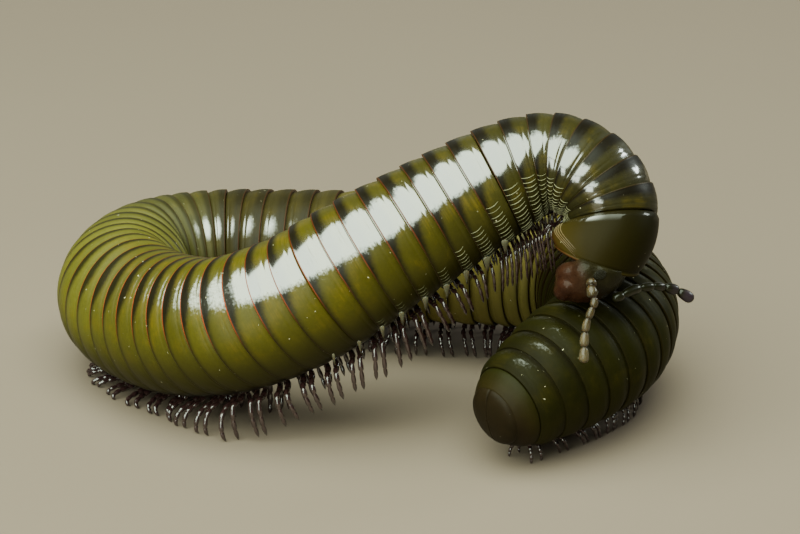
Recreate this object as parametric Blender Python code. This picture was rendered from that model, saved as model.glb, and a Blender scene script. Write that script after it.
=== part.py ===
"""A spirostreptus millipede, life size, curled over its own tail with its head held low.

Metres, +Z up. The ground is z = 0 and the origin lies under the middle of the animal.
Sizes below are in millimetres and are scaled by MM where a mesh is made.
"""
import math

import bmesh
import bpy
import numpy as np
from mathutils import Matrix, Vector

MM = 0.001

# Middle of the animal's own box in the numbers below; it becomes the origin
MIDDLE = (-3.13, -1.51, 0.0)

# Middle line of the body over the ground, from the head end to the tail end
COURSE = {
    "bowed neck": ((19.0, -12.8, 18.6), (19.3, -11.4, 20.5), (18.6, -10.0, 23.0), (16.6, -8.8, 24.6)),
    "arch": ((14.2, -7.9, 25.0), (11.6, -7.9, 24.5), (8.9, -8.3, 23.4)),
    "slope to the ground": ((3.8, -9.3, 20.6), (-2.4, -10.8, 17.2), (-9.4, -11.2, 12.8), (-15.9, -9.9, 9.9)),
    "left turn": ((-22.5, -3.9, 7.85), (-26.7, 2.9, 7.8), (-25.0, 10.2, 7.9)),
    "back run": ((-19.3, 13.1, 7.95), (-11.1, 12.6, 8.25), (-3.0, 11.4, 8.6), (5.0, 10.1, 8.8),
                 (12.0, 8.4, 8.9)),
    "right turn": ((17.3, 5.3, 8.9), (19.9, -0.8, 8.9), (19.9, -7.3, 8.8), (18.0, -12.0, 8.3)),
    "tail": ((15.5, -14.6, 7.6), (13.3, -16.6, 6.85), (11.85, -17.86, 6.35), (9.8, -19.65, 5.7),
             (8.0, -21.2, 5.15)),
}
COURSE_STEP = 0.1
COURSE_SMOOTHING = 1.2

# Half thickness of the body: distance from the head end, then radius
GIRTH = ((0.0, 4.7), (4.0, 4.85), (12.0, 5.2), (22.0, 5.95), (35.0, 6.65), (52.0, 7.0), (85.0, 6.85),
         (110.0, 6.55))
# The same toward the tail: distance from the tail end, then radius
TAIL_GIRTH = ((17.0, 6.4), (12.4, 6.15), (9.4, 5.85), (7.4, 5.5), (5.3, 5.0), (3.4, 4.5), (2.5, 4.05),
              (1.0, 3.0), (0.0, 2.0))

# Body rings
COLLUM_END = 2.9
RING_PITCH = 2.45
RING_BEND_SHARE = 0.65
RING_STEP = 0.07
RING_FRONT = 0.955
RING_REAR = 1.0
RING_SIDES = 16
BEND_TUCK = 0.22
SEAM = 0.3
NECK_RINGS = 8
NECK_CARRY = 14.0
TRUNK_LENGTHS = 8
TELSON_LENGTH = 2.7
TELSON_LOOPS = 4
TELSON_GIRTH = 0.985
VALVE_LENGTH = 1.05
VALVE_GIRTH = 0.93
VALVE_SIDES = 16
VALVE_ROWS = 10

# Collum, the large first shield
COLLUM_LOOPS = 6
COLLUM_FRONT = (17.9, -14.1, 18.3)
COLLUM_FRONT_RADIUS = 4.1
COLLUM_NOD = 34.0
COLLUM_SWELL = 2.2

# Head, in its own frame: right, up (toward the back) and forward
HEAD_CENTRE = (17.35, -16.1, 17.15)
HEAD_UP = (0.95, 0.12, 0.29)
HEAD_RIGHT = (0.0, -0.93, 0.36)
HEAD_HALF = (3.25, 3.35, 2.15)
HEAD_SIDES = 16
HEAD_ROWS = 10
# Jaw lobes on each side, and the lip across the middle: half sizes, then places
JAW_LOBES = (((1.1, 1.2, 1.1), (2.25, -0.35, -0.75)), ((1.15, 1.0, 1.0), (1.45, -1.7, -1.1)))
LIP_LOBE = ((1.7, 0.8, 0.75), (0.0, -2.75, 0.45))
LOBE_SIDES = 10
LOBE_ROWS = 6

# Eyes: oval fields of small lenses on the sides of the head
EYE_HALF = (0.62, 0.45, 0.22)
EYE_PLACE = (0.95, 0.19, -0.02)
EYE_SIDES = 12
EYE_ROWS = 8

# Feelers: the course of each from its root to its tip
RIGHT_FEELER = ((17.2, -19.5, 17.95), (17.2, -20.3, 17.45), (17.42, -20.8, 16.6), (17.1, -21.1, 15.8),
                (16.75, -21.4, 14.85), (16.55, -21.8, 13.55), (16.5, -22.4, 12.0), (16.5, -22.6, 11.45))
LEFT_FEELER = ((19.8, -17.4, 15.75), (21.35, -15.8, 15.85), (22.95, -14.4, 15.6), (24.25, -13.3, 15.15),
               (25.6, -12.6, 14.5), (26.7, -12.3, 13.75), (27.1, -12.2, 13.4))
FEELER_BEADS = 6
FEELER_BEAD = 0.48
FEELER_NECK = 0.28
FEELER_SIDES = 6
# Along each bead: share of its length, then radius as a share of the full one, the neck's where 0
BEAD_PROFILE = ((0.0, 0.0), (0.30, 0.85), (0.72, 1.0))
LAST_BEAD = 1.15
FEELER_TIP = 0.5

# Legs
LEG_RADII = (0.42, 0.40, 0.33, 0.27, 0.14)
LEG_SIDES = 4
LEG_SPACING = 1.25
LEG_DROP = 3.4
# A leg that ends this near the ground stands on it
LEG_STRETCH = 0.4
LEG_SPREAD = 0.58
TAIL_SPREAD = 0.24
LEG_WAVE = 0.45
LEG_WAVE_PITCH = 9.0
TAIL_TUCK = 20.0

# Colours and surface values
SHELL_OLIVE = (0.10, 0.11, 0.012)
SHELL_DARK = (0.030, 0.024, 0.010)
HEAD_BROWN = (0.085, 0.030, 0.014)
EYE_BLACK = (0.010, 0.010, 0.012)
FEELER_PALE = (0.36, 0.27, 0.17)
FEELER_DARK = (0.05, 0.035, 0.04)
SHELL_GLOSS = 0.22
HEAD_GLOSS = 0.28
EYE_GLOSS = 0.12


def clear_scene():
    """Removes whatever the scene holds."""
    for old in list(bpy.data.objects):
        bpy.data.objects.remove(old, do_unlink=True)


def material(name, colour, roughness):
    """A plain coat of colour with the part's gloss."""
    mat = bpy.data.materials.new(name)
    mat.use_nodes = True
    shader = mat.node_tree.nodes["Principled BSDF"]
    shader.inputs["Base Color"].default_value = (*colour, 1.0)
    shader.inputs["Roughness"].default_value = roughness
    shader.inputs["Metallic"].default_value = 0.0
    return mat


def unit(vectors):
    """Vectors of length one, one per row."""
    return vectors / np.linalg.norm(vectors, axis=-1, keepdims=True)


def smooth_line(points, step, smoothing):
    """Points every step along a smooth line through the given points, and their distances."""
    rows = np.array(points, float)
    rows = np.vstack([2 * rows[0] - rows[1], rows, 2 * rows[-1] - rows[-2]])
    fine = []
    for a, b, c, d in zip(rows, rows[1:], rows[2:], rows[3:]):
        knots = np.cumsum([0.0] + [np.linalg.norm(q - p) ** 0.5 for p, q in ((a, b), (b, c), (c, d))])
        for t in np.linspace(knots[1], knots[2], 60, endpoint=False):
            def mix(p, q, lo, hi):
                return p + (q - p) * (t - lo) / (hi - lo)
            ab, bc, cd = (mix(a, b, knots[0], knots[1]), mix(b, c, knots[1], knots[2]),
                          mix(c, d, knots[2], knots[3]))
            fine.append(mix(mix(ab, bc, knots[0], knots[2]), mix(bc, cd, knots[1], knots[3]),
                            knots[1], knots[2]))
    fine.append(rows[-2])
    line = even_steps(np.array(fine), step)
    if smoothing > 0.0:
        line = even_steps(blurred(line, smoothing / step), step)
    places = np.concatenate([[0.0], np.cumsum(np.linalg.norm(np.diff(line, axis=0), axis=1))])
    return line, places


def even_steps(line, step):
    """The same line with points at even distances."""
    places = np.concatenate([[0.0], np.cumsum(np.linalg.norm(np.diff(line, axis=0), axis=1))])
    wanted = np.linspace(0.0, places[-1], int(round(places[-1] / step)) + 1)
    return np.stack([np.interp(wanted, places, line[:, k]) for k in range(3)], 1)


def blurred(line, width):
    """The line with its small kinks evened out; its ends stay in place."""
    reach = int(3 * width)
    weights = np.exp(-0.5 * (np.arange(-reach, reach + 1) / width) ** 2)
    weights /= weights.sum()
    front = 2 * line[0] - line[reach:0:-1]
    back = 2 * line[-1] - line[-2:-reach - 2:-1]
    long = np.vstack([front, line, back])
    return np.stack([np.convolve(long[:, k], weights, "valid") for k in range(3)], 1)


class Body:
    """The middle line of the animal with its frames, girth and ring margins."""

    def __init__(self):
        points = [p for stretch in COURSE.values() for p in stretch]
        self.line, self.places = smooth_line(points, COURSE_STEP, COURSE_SMOOTHING)
        self.length = float(self.places[-1])
        step = self.length / (len(self.line) - 1)
        self.along = unit(np.gradient(self.line, axis=0))
        self.bend = np.gradient(self.along, axis=0) / step
        self.belly = self.carried_frames()
        self.side = np.cross(self.along, self.belly)
        self.margins = self.ring_margins(step)

    def carried_frames(self):
        """Belly directions: down wherever the body lies, and carried on without twist up the neck."""
        belly = np.zeros_like(self.along)
        for i in range(len(self.along) - 1, -1, -1):
            if self.places[i] > NECK_CARRY:
                current = np.array((0.0, 0.0, -1.0))
            current = unit(current - self.along[i] * (current @ self.along[i]))
            belly[i] = current
        return belly

    def radius(self, place):
        """Half thickness at a distance from the head end."""
        keys = list(GIRTH) + [(self.length - back, r) for back, r in TAIL_GIRTH]
        return float(np.interp(place, [k[0] for k in keys], [k[1] for k in keys]))

    def ring_margins(self, step):
        """Rear edges of the collum and of each ring; rings draw together where the body bends."""
        covered = [0.0]
        spots = [COLLUM_END]
        for place, bend in zip(self.places, self.bend):
            if COLLUM_END < place < self.length - TELSON_LENGTH:
                curl = np.linalg.norm(bend) * self.radius(place)
                covered.append(covered[-1] + step * (1.0 + RING_BEND_SHARE * curl) / RING_PITCH)
                spots.append(place)
        rings = round(covered[-1])
        return [float(np.interp(covered[-1] * k / rings, covered, spots)) for k in range(rings + 1)]

    def frame(self, place):
        """Centre, along, belly, side and bend at a distance from the head end."""
        def read(rows):
            return np.array([np.interp(place, self.places, rows[:, k]) for k in range(3)])
        along = unit(read(self.along))
        belly = read(self.belly)
        belly = unit(belly - along * (belly @ along))
        return read(self.line), along, belly, np.cross(along, belly), read(self.bend)

    def loop(self, place, scale, shift=0.0):
        """Points round the body at a place, the radius scaled, the whole loop shifted along."""
        centre, along, belly, side, bend = self.frame(place)
        radius = self.radius(place) * scale
        points = []
        for k in range(RING_SIDES):
            turn = 2 * math.pi * (k + 0.5) / RING_SIDES
            out = belly * math.cos(turn) + side * math.sin(turn)
            inward = max(0.0, float(bend @ out) * radius)
            points.append(centre + along * shift + out * radius * (1.0 - BEND_TUCK * inward ** 1.5))
        return points


def loft(bm, loops):
    """Closes a row of loops of equal count into one solid."""
    rows = [[bm.verts.new(Vector(p) * MM) for p in loop] for loop in loops]
    count = len(rows[0])
    for low, high in zip(rows, rows[1:]):
        for k in range(count):
            m = (k + 1) % count
            bm.faces.new((low[k], low[m], high[m], high[k]))
    bm.faces.new(list(reversed(rows[0])))
    bm.faces.new(rows[-1])


def finish_mesh(bm, name, mat, collection):
    """Turns a bmesh into an object with its faces pointing out."""
    bmesh.ops.recalc_face_normals(bm, faces=bm.faces)
    mesh = bpy.data.meshes.new(name)
    bm.to_mesh(mesh)
    bm.free()
    mesh.materials.append(mat)
    made = bpy.data.objects.new(name, mesh)
    collection.objects.link(made)
    return made


def solid(name, loops, mat, collection):
    """One closed object from a row of loops."""
    bm = bmesh.new()
    loft(bm, loops)
    return finish_mesh(bm, name, mat, collection)


def tapered_rod(points, radii, sides, level_tip=False):
    """Loops of a bent, tapering rod; a level tip ends in a flat on the ground."""
    rows = np.array(points, float)
    along = unit(np.gradient(rows, axis=0))
    loops = []
    for i, (centre, radius) in enumerate(zip(rows, radii)):
        axis = along[i]
        if level_tip and i == len(rows) - 1:
            axis = np.array((0.0, 0.0, -1.0))
        across = unit(np.cross(axis, (0.36, 0.48, 0.8)) if i == 0 else across - axis * (across @ axis))
        third = np.cross(axis, across)
        loops.append([centre + radius * (across * math.cos(a) + third * math.sin(a))
                      for a in (2 * math.pi * k / sides for k in range(sides))])
    return loops


def leg_course(body, place, hand, number):
    """Five points of a leg from inside the belly to its tip, and whether it stands on the ground."""
    centre, along, belly, side, _ = body.frame(place)
    radius = body.radius(place)
    height = centre[2] / max(0.2, -belly[2]) - radius
    standing = height < LEG_DROP + LEG_STRETCH
    from_tail = body.length - place
    share = min(1.0, max(0.0, (from_tail - TAIL_TUCK / 2) / TAIL_TUCK))
    spread = TAIL_SPREAD + (LEG_SPREAD - TAIL_SPREAD) * share
    wave = LEG_WAVE * math.sin(2 * math.pi * number / LEG_WAVE_PITCH)

    def at(depth, out, ahead):
        return centre + belly * depth + side * (hand * out * radius) + along * ahead

    points = [at(0.72 * radius, 0.10, 0.0), at(radius + 0.10, min(0.28, spread), 0.0)]
    if standing:
        points.append(at(radius + 0.25 * height, 0.80 * spread, 0.3 * wave))
        points.append(at(radius + 0.65 * height, spread, 0.7 * wave))
        tip = at(radius + height, 1.03 * spread, wave)
        tip[2] = 0.0
    else:
        points.append(at(radius + 0.35, 0.48, 0.3 * wave))
        points.append(at(radius + 0.50 * LEG_DROP, 0.56, 0.7 * wave))
        tip = at(radius + LEG_DROP, 0.52, wave)
    points.append(tip)
    return np.array(points), standing


def leg_solids(body, first, last, mat, collection):
    """Legs of one length of rings, spaced so that neighbours stay clear of one another."""
    made = []
    ends = [body.frame(body.margins[number])[:2] for number in (first, last)]
    for hand in (1, -1):
        previous = None
        for number in range(first, last):
            place = 0.5 * (body.margins[number] + body.margins[number + 1])
            points, standing = leg_course(body, place, hand, number)
            if previous is not None and np.linalg.norm(points[2:] - previous[2:], axis=1).min() < LEG_SPACING:
                continue
            if min(abs((points[1] - centre) @ along) for centre, along in ends) < LEG_RADII[0] + SEAM:
                continue
            previous = points
            loops = tapered_rod(points, LEG_RADII, LEG_SIDES, standing)
            made.append(solid(f"leg_{number}_{hand}", loops, mat, collection))
    return made


def join(base, pieces, collection):
    """Fuses closed pieces into the base and keeps its largest closed surface."""
    if not pieces:
        return
    union = base.modifiers.new("join", "BOOLEAN")
    union.operation = "UNION"
    union.operand_type = "COLLECTION"
    union.collection = collection
    union.solver = "MANIFOLD"
    graph = bpy.context.evaluated_depsgraph_get()
    fused = bpy.data.meshes.new_from_object(base.evaluated_get(graph))
    base.modifiers.clear()
    base.data = fused
    for piece in pieces:
        bpy.data.objects.remove(piece, do_unlink=True)
    keep_largest(fused)


def keep_largest(mesh):
    """Drops every loose scrap but the largest closed surface."""
    bm = bmesh.new()
    bm.from_mesh(mesh)
    left = set(bm.faces)
    groups = []
    while left:
        group, edge_of = [], [left.pop()]
        while edge_of:
            face = edge_of.pop()
            group.append(face)
            for edge in face.edges:
                for other in edge.link_faces:
                    if other in left:
                        left.remove(other)
                        edge_of.append(other)
        groups.append(group)
    groups.sort(key=lambda faces: sum(f.calc_area() for f in faces), reverse=True)
    for scrap in groups[1:]:
        bmesh.ops.delete(bm, geom=scrap, context="FACES")
    loose = [v for v in bm.verts if not v.link_faces]
    bmesh.ops.delete(bm, geom=loose, context="VERTS")
    bm.to_mesh(mesh)
    bm.free()


def ring_length(body, name, first, last, mats, parts, joined):
    """A length of the trunk from one ring margin to another, with its legs."""
    shell, dark = mats
    margins = body.margins
    loops = []
    for number in range(first, last):
        front, rear = margins[number], margins[number + 1]
        step = RING_STEP * (rear - front)
        if number == first:
            loops.append(body.loop(front, RING_FRONT, SEAM / 2))
        else:
            loops.append(body.loop(front + step, RING_FRONT))
        if number == last - 1:
            loops.append(body.loop(rear, RING_REAR, -SEAM / 2))
        else:
            loops.append(body.loop(rear - step, RING_REAR))
    made = solid(name, loops, shell, parts)
    join(made, leg_solids(body, first, last, dark, joined), joined)
    return made


def collum(body, mat, parts):
    """The shield behind the head: full girth at its rear edge, drawn in and nodding at its front."""
    centre, along, belly, side, _ = body.frame(COLLUM_END)
    front = np.array(COLLUM_FRONT)
    radius = body.radius(COLLUM_END)
    loops = []
    for k in range(COLLUM_LOOPS):
        share = k / (COLLUM_LOOPS - 1)
        turn = math.radians(COLLUM_NOD) * share
        axis = along * math.cos(turn) - belly * math.sin(turn)
        down = belly * math.cos(turn) + along * math.sin(turn)
        middle = centre - along * SEAM / 2 + (front - centre) * share
        size = radius + (COLLUM_FRONT_RADIUS - radius) * share ** COLLUM_SWELL
        loops.append([middle + size * (down * math.cos(a) + side * math.sin(a))
                      for a in (2 * math.pi * (j + 0.5) / RING_SIDES for j in range(RING_SIDES))])
    solid("collum", loops, mat, parts)
    return front, axis


def head_frame():
    """A matrix that places head sizes: right, up and forward as its columns."""
    up = Vector(HEAD_UP).normalized()
    right = Vector(HEAD_RIGHT)
    right = (right - up * right.dot(up)).normalized()
    forward = up.cross(right)
    turn = Matrix((right, up, forward)).transposed().to_4x4()
    return Matrix.Translation(Vector(HEAD_CENTRE) * MM) @ turn


def ball(name, half, place, frame, sides, rows, mat, collection):
    """An egg-shaped solid in the head's frame."""
    bm = bmesh.new()
    bmesh.ops.create_uvsphere(bm, u_segments=sides, v_segments=rows, radius=1.0)
    size = Matrix.Diagonal((*(h * MM for h in half), 1.0))
    spot = Matrix.Translation(Vector(place) * MM)
    bmesh.ops.transform(bm, matrix=frame @ spot @ size, verts=bm.verts)
    return finish_mesh(bm, name, mat, collection)


def head(frame, cut_point, cut_axis, mat, parts, joined):
    """The head capsule with its jaw lobes and lip, cut flat where the collum covers it."""
    made = ball("head", HEAD_HALF, (0, 0, 0), frame, HEAD_SIDES, HEAD_ROWS, mat, parts)
    lobes = [ball("lip", *LIP_LOBE, frame, LOBE_SIDES, LOBE_ROWS, mat, joined)]
    for half, (right, up, forward) in JAW_LOBES:
        for hand in (1, -1):
            place = (hand * right, up, forward)
            lobes.append(ball("jaw lobe", half, place, frame, LOBE_SIDES, LOBE_ROWS, mat, joined))
    join(made, lobes, joined)
    bm = bmesh.new()
    bm.from_mesh(made.data)
    normal = Vector(cut_axis)
    result = bmesh.ops.bisect_plane(bm, geom=bm.verts[:] + bm.edges[:] + bm.faces[:],
                                    plane_co=(Vector(cut_point) - normal * SEAM) * MM,
                                    plane_no=normal, clear_outer=True)
    rim = [e for e in result["geom_cut"] if isinstance(e, bmesh.types.BMEdge)]
    bmesh.ops.holes_fill(bm, edges=rim, sides=0)
    bm.to_mesh(made.data)
    bm.free()
    return made


def eye(name, hand, frame, mat, parts):
    """A low dome on the side of the head, its flat back just clear of the skin."""
    spot = Vector((hand * EYE_PLACE[0], EYE_PLACE[1], EYE_PLACE[2])).normalized()
    skin = Vector(HEAD_HALF[k] * spot[k] for k in range(3))
    out = Vector(spot[k] / HEAD_HALF[k] for k in range(3)).normalized()
    turn = out.to_track_quat("Z", "Y").to_matrix().to_4x4()
    place = frame @ Matrix.Translation((skin + out * SEAM) * MM) @ turn
    bm = bmesh.new()
    bmesh.ops.create_uvsphere(bm, u_segments=EYE_SIDES, v_segments=EYE_ROWS, radius=1.0)
    bmesh.ops.bisect_plane(bm, geom=bm.verts[:] + bm.edges[:] + bm.faces[:], plane_co=(0, 0, 0),
                           plane_no=(0, 0, -1), clear_outer=True)
    bmesh.ops.holes_fill(bm, edges=[e for e in bm.edges if e.is_boundary], sides=0)
    bmesh.ops.transform(bm, matrix=place @ Matrix.Diagonal((*(h * MM for h in EYE_HALF), 1.0)),
                        verts=bm.verts)
    return finish_mesh(bm, name, mat, parts)


def feeler(name, points, mat, parts):
    """A feeler of beads, each narrow at its joints and full in its middle."""
    line, places = smooth_line(points, 0.05, 0.0)
    loops_at, radii = [], []
    for bead in range(FEELER_BEADS):
        lo = places[-1] * bead / FEELER_BEADS
        span = places[-1] / FEELER_BEADS
        full = FEELER_BEAD * (LAST_BEAD if bead == FEELER_BEADS - 1 else 1.0)
        for share, swell in BEAD_PROFILE:
            loops_at.append(lo + span * share)
            radii.append(swell * full or FEELER_NECK)
    loops_at.append(places[-1])
    radii.append(FEELER_TIP * FEELER_BEAD)
    rows = [[np.interp(at, places, line[:, k]) for k in range(3)] for at in loops_at]
    return solid(name, tapered_rod(rows, radii, FEELER_SIDES), mat, parts)


def telson(body, mat, parts):
    """The last ring: a smooth cap that narrows to the valves."""
    start = body.margins[-1]
    end = body.length - VALVE_LENGTH
    loops = [body.loop(start, RING_FRONT, SEAM / 2)]
    for k in range(1, TELSON_LOOPS + 1):
        loops.append(body.loop(start + (end - start) * k / TELSON_LOOPS, TELSON_GIRTH))
    solid("telson", loops, mat, parts)


def valve(body, name, hand, mat, parts):
    """One of the two half domes that close the tail, side by side."""
    start = body.length - VALVE_LENGTH
    centre, along, belly, side, _ = body.frame(start)
    radius = body.radius(start) * VALVE_GIRTH
    bm = bmesh.new()
    bmesh.ops.create_uvsphere(bm, u_segments=VALVE_SIDES, v_segments=VALVE_ROWS, radius=1.0)
    for point, normal in (((0, 0, 0), (0, 0, -1)), ((0.5 * SEAM / radius, 0, 0), (-1, 0, 0))):
        geometry = bm.verts[:] + bm.edges[:] + bm.faces[:]
        bmesh.ops.bisect_plane(bm, geom=geometry, plane_co=point, plane_no=normal, clear_outer=True)
        bmesh.ops.holes_fill(bm, edges=[e for e in bm.edges if e.is_boundary], sides=0)
    axes = Matrix((side * hand, belly, along)).transposed().to_4x4()
    size = Matrix.Diagonal((radius * MM, radius * MM, VALVE_LENGTH * MM, 1.0))
    middle = Matrix.Translation(Vector(centre + along * SEAM) * MM)
    bmesh.ops.transform(bm, matrix=middle @ axes @ size, verts=bm.verts)
    finish_mesh(bm, name, mat, parts)


def shade(made):
    """Smooth shading with edges kept where the surface turns sharply."""
    made.data.shade_smooth()
    made.data.set_sharp_from_angle(angle=math.radians(40))


def main():
    """Builds the animal piece by piece from head to tail."""
    clear_scene()
    parts = bpy.data.collections.new("millipede")
    joined = bpy.data.collections.new("joined")
    for collection in (parts, joined):
        bpy.context.scene.collection.children.link(collection)

    shell = material("olive shell", SHELL_OLIVE, SHELL_GLOSS)
    dark = material("dark shell", SHELL_DARK, SHELL_GLOSS)
    brown = material("head brown", HEAD_BROWN, HEAD_GLOSS)
    black = material("eye black", EYE_BLACK, EYE_GLOSS)
    pale = material("pale feeler", FEELER_PALE, HEAD_GLOSS)
    dusky = material("dusky feeler", FEELER_DARK, HEAD_GLOSS)

    body = Body()
    front, axis = collum(body, dark, parts)
    frame = head_frame()
    head(frame, front, axis, brown, parts, joined)
    eye("eye_right", 1, frame, black, parts)
    eye("eye_left", -1, frame, black, parts)
    feeler("antenna_right", RIGHT_FEELER, pale, parts)
    feeler("antenna_left", LEFT_FEELER, dusky, parts)

    last = len(body.margins) - 1
    ring_length(body, "neck", 0, NECK_RINGS, (shell, dark), parts, joined)
    for number in range(TRUNK_LENGTHS):
        begin = NECK_RINGS + round((last - NECK_RINGS) * number / TRUNK_LENGTHS)
        end = NECK_RINGS + round((last - NECK_RINGS) * (number + 1) / TRUNK_LENGTHS)
        ring_length(body, f"trunk_{number + 1}", begin, end, (shell, dark), parts, joined)
    telson(body, dark, parts)
    valve(body, "valve_right", 1, dark, parts)
    valve(body, "valve_left", -1, dark, parts)

    bpy.data.collections.remove(joined)
    to_origin = Matrix.Translation(-Vector(MIDDLE) * MM)
    for made in parts.objects:
        made.data.transform(to_origin)
        shade(made)


main()
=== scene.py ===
"""The looks of a life-size spirostreptus millipede: ring shells, legs, head, feelers and tail end.

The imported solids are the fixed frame, and every form here stands where its node stands.
Sizes are in millimetres and are scaled by MM where a mesh is made.
"""

import logging
import math
from dataclasses import dataclass, field
from enum import Enum
from typing import Callable, Sequence

import bmesh
import bpy
import numpy as np
from mathutils import Matrix, Vector


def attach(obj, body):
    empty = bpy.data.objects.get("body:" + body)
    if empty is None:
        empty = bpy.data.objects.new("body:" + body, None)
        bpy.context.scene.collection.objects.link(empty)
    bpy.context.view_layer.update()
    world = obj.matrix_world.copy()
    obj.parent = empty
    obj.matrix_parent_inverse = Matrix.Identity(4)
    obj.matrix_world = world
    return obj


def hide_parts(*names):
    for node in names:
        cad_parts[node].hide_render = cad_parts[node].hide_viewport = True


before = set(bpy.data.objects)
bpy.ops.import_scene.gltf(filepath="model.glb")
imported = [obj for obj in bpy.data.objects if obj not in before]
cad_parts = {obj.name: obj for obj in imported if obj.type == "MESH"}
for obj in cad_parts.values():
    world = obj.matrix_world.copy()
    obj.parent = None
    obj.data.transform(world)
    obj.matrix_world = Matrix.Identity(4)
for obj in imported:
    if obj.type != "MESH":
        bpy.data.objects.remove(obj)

LOG = logging.getLogger("millipede")
MM = 0.001
UV_NAME = "ShellUV"
# Distance in metres under which points of a sleeve are merged
WELD = 2e-7
# Points worked out between two places that a smooth line passes through
SPLINE_STEPS = 60

Point = tuple[float, float, float]
Keys = Sequence[tuple[float, float]]

# Middle of the animal's own box in the numbers below; it is the origin of the frame
MIDDLE: Point = (-3.13, -1.51, 0.0)

# Middle line of the body over the ground, from the head end to the tail end
COURSE: dict[str, tuple[Point, ...]] = {
    "bowed neck": ((19.0, -12.8, 18.6), (19.3, -11.4, 20.5), (18.6, -10.0, 23.0), (16.6, -8.8, 24.6)),
    "arch": ((14.2, -7.9, 25.0), (11.6, -7.9, 24.5), (8.9, -8.3, 23.4)),
    "slope to the ground": ((3.8, -9.3, 20.6), (-2.4, -10.8, 17.2), (-9.4, -11.2, 12.8), (-15.9, -9.9, 9.9)),
    "left turn": ((-22.5, -3.9, 7.85), (-26.7, 2.9, 7.8), (-25.0, 10.2, 7.9)),
    "back run": ((-19.3, 13.1, 7.95), (-11.1, 12.6, 8.25), (-3.0, 11.4, 8.6), (5.0, 10.1, 8.8),
                 (12.0, 8.4, 8.9)),
    "right turn": ((17.3, 5.3, 8.9), (19.9, -0.8, 8.9), (19.9, -7.3, 8.8), (18.0, -12.0, 8.3)),
    "tail": ((15.5, -14.6, 7.6), (13.3, -16.6, 6.85), (11.85, -17.86, 6.35), (9.8, -19.65, 5.7),
             (8.0, -21.2, 5.15)),
}

# Half thickness of the body: distance from the head end, then radius; and the same from the tail end
GIRTH: Keys = ((0.0, 4.7), (4.0, 4.85), (12.0, 5.2), (22.0, 5.95), (35.0, 6.65), (52.0, 7.0),
               (85.0, 6.85), (110.0, 6.55))
TAIL_GIRTH: Keys = ((17.0, 6.4), (12.4, 6.15), (9.4, 5.85), (7.4, 5.5), (5.3, 5.0), (3.4, 4.5),
                    (2.5, 4.05), (1.0, 3.0), (0.0, 2.0))


class Hand(Enum):
    """The animal's own sides."""

    RIGHT = 1
    LEFT = -1


class Slot(Enum):
    """Material slots of the record."""

    TRUNK = "trunk_shell"
    DARK = "dark_shell"
    HEAD = "head_shell"
    EYE = "eye"
    PALE_FEELER = "pale_feeler"
    DUSKY_FEELER = "dusky_feeler"


def unit(vectors: np.ndarray) -> np.ndarray:
    """Vectors of length one, one per row."""
    return vectors / np.linalg.norm(vectors, axis=-1, keepdims=True)


def smoothstep(low: float, high: float, value: np.ndarray | float) -> np.ndarray | float:
    """A soft step from 0 at low to 1 at high."""
    share = np.clip((value - low) / (high - low), 0.0, 1.0)
    return share * share * (3.0 - 2.0 * share)


def window(value: np.ndarray, rise: float, top: float, edge: float, end: float) -> np.ndarray:
    """1 from top to edge, with a soft rise before and a soft fall to 0 at the end."""
    return smoothstep(rise, top, value) * (1.0 - smoothstep(edge, end, value))


def keyed(keys: Keys, at: np.ndarray | float) -> np.ndarray | float:
    """Reads a value between keys."""
    return np.interp(at, [k[0] for k in keys], [k[1] for k in keys])


def even_steps(line: np.ndarray, step: float) -> np.ndarray:
    """The same line with points at even distances.

    Args:
        line: one row per point.
        step: distance wanted between points.

    Returns:
        One row per point.
    """
    places = line_places(line)
    wanted = np.linspace(0.0, places[-1], int(round(places[-1] / step)) + 1)
    return np.stack([np.interp(wanted, places, line[:, k]) for k in range(3)], 1)


def line_places(line: np.ndarray) -> np.ndarray:
    """Distance of each point of a line from its start."""
    return np.concatenate([[0.0], np.cumsum(np.linalg.norm(np.diff(line, axis=0), axis=1))])


def blurred(line: np.ndarray, width: float) -> np.ndarray:
    """The line with its small kinks evened out; its ends stay in place.

    Args:
        line: one row per point, evenly spaced.
        width: width of the blur in points.

    Returns:
        As many rows as the line has.
    """
    reach = int(3 * width)
    weights = np.exp(-0.5 * (np.arange(-reach, reach + 1) / width) ** 2)
    weights /= weights.sum()
    front = 2 * line[0] - line[reach:0:-1]
    back = 2 * line[-1] - line[-2:-reach - 2:-1]
    long = np.vstack([front, line, back])
    return np.stack([np.convolve(long[:, k], weights, "valid") for k in range(3)], 1)


def between(p: np.ndarray, q: np.ndarray, low: float, high: float, knot: float) -> np.ndarray:
    """The place at a knot between two points that stand at the knots low and high."""
    return p + (q - p) * (knot - low) / (high - low)


def smooth_line(points: Sequence[Point], step: float, smoothing: float) -> np.ndarray:
    """Points every step along a smooth line through the given points.

    Args:
        points: places that the line passes through.
        step: distance between the points of the result.
        smoothing: width over which kinks are evened out, or 0.

    Returns:
        One row per point.
    """
    rows = np.array(points, float)
    rows = np.vstack([2 * rows[0] - rows[1], rows, 2 * rows[-1] - rows[-2]])
    fine = []
    for a, b, c, d in zip(rows, rows[1:], rows[2:], rows[3:]):
        knots = np.cumsum([0.0] + [np.linalg.norm(q - p) ** 0.5 for p, q in ((a, b), (b, c), (c, d))])
        for knot in np.linspace(knots[1], knots[2], SPLINE_STEPS, endpoint=False):
            ab = between(a, b, knots[0], knots[1], knot)
            bc = between(b, c, knots[1], knots[2], knot)
            cd = between(c, d, knots[2], knots[3], knot)
            early = between(ab, bc, knots[0], knots[2], knot)
            late = between(bc, cd, knots[1], knots[3], knot)
            fine.append(between(early, late, knots[1], knots[2], knot))
    fine.append(rows[-2])
    line = even_steps(np.array(fine), step)
    if smoothing > 0.0:
        line = even_steps(blurred(line, smoothing / step), step)
    return line


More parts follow.
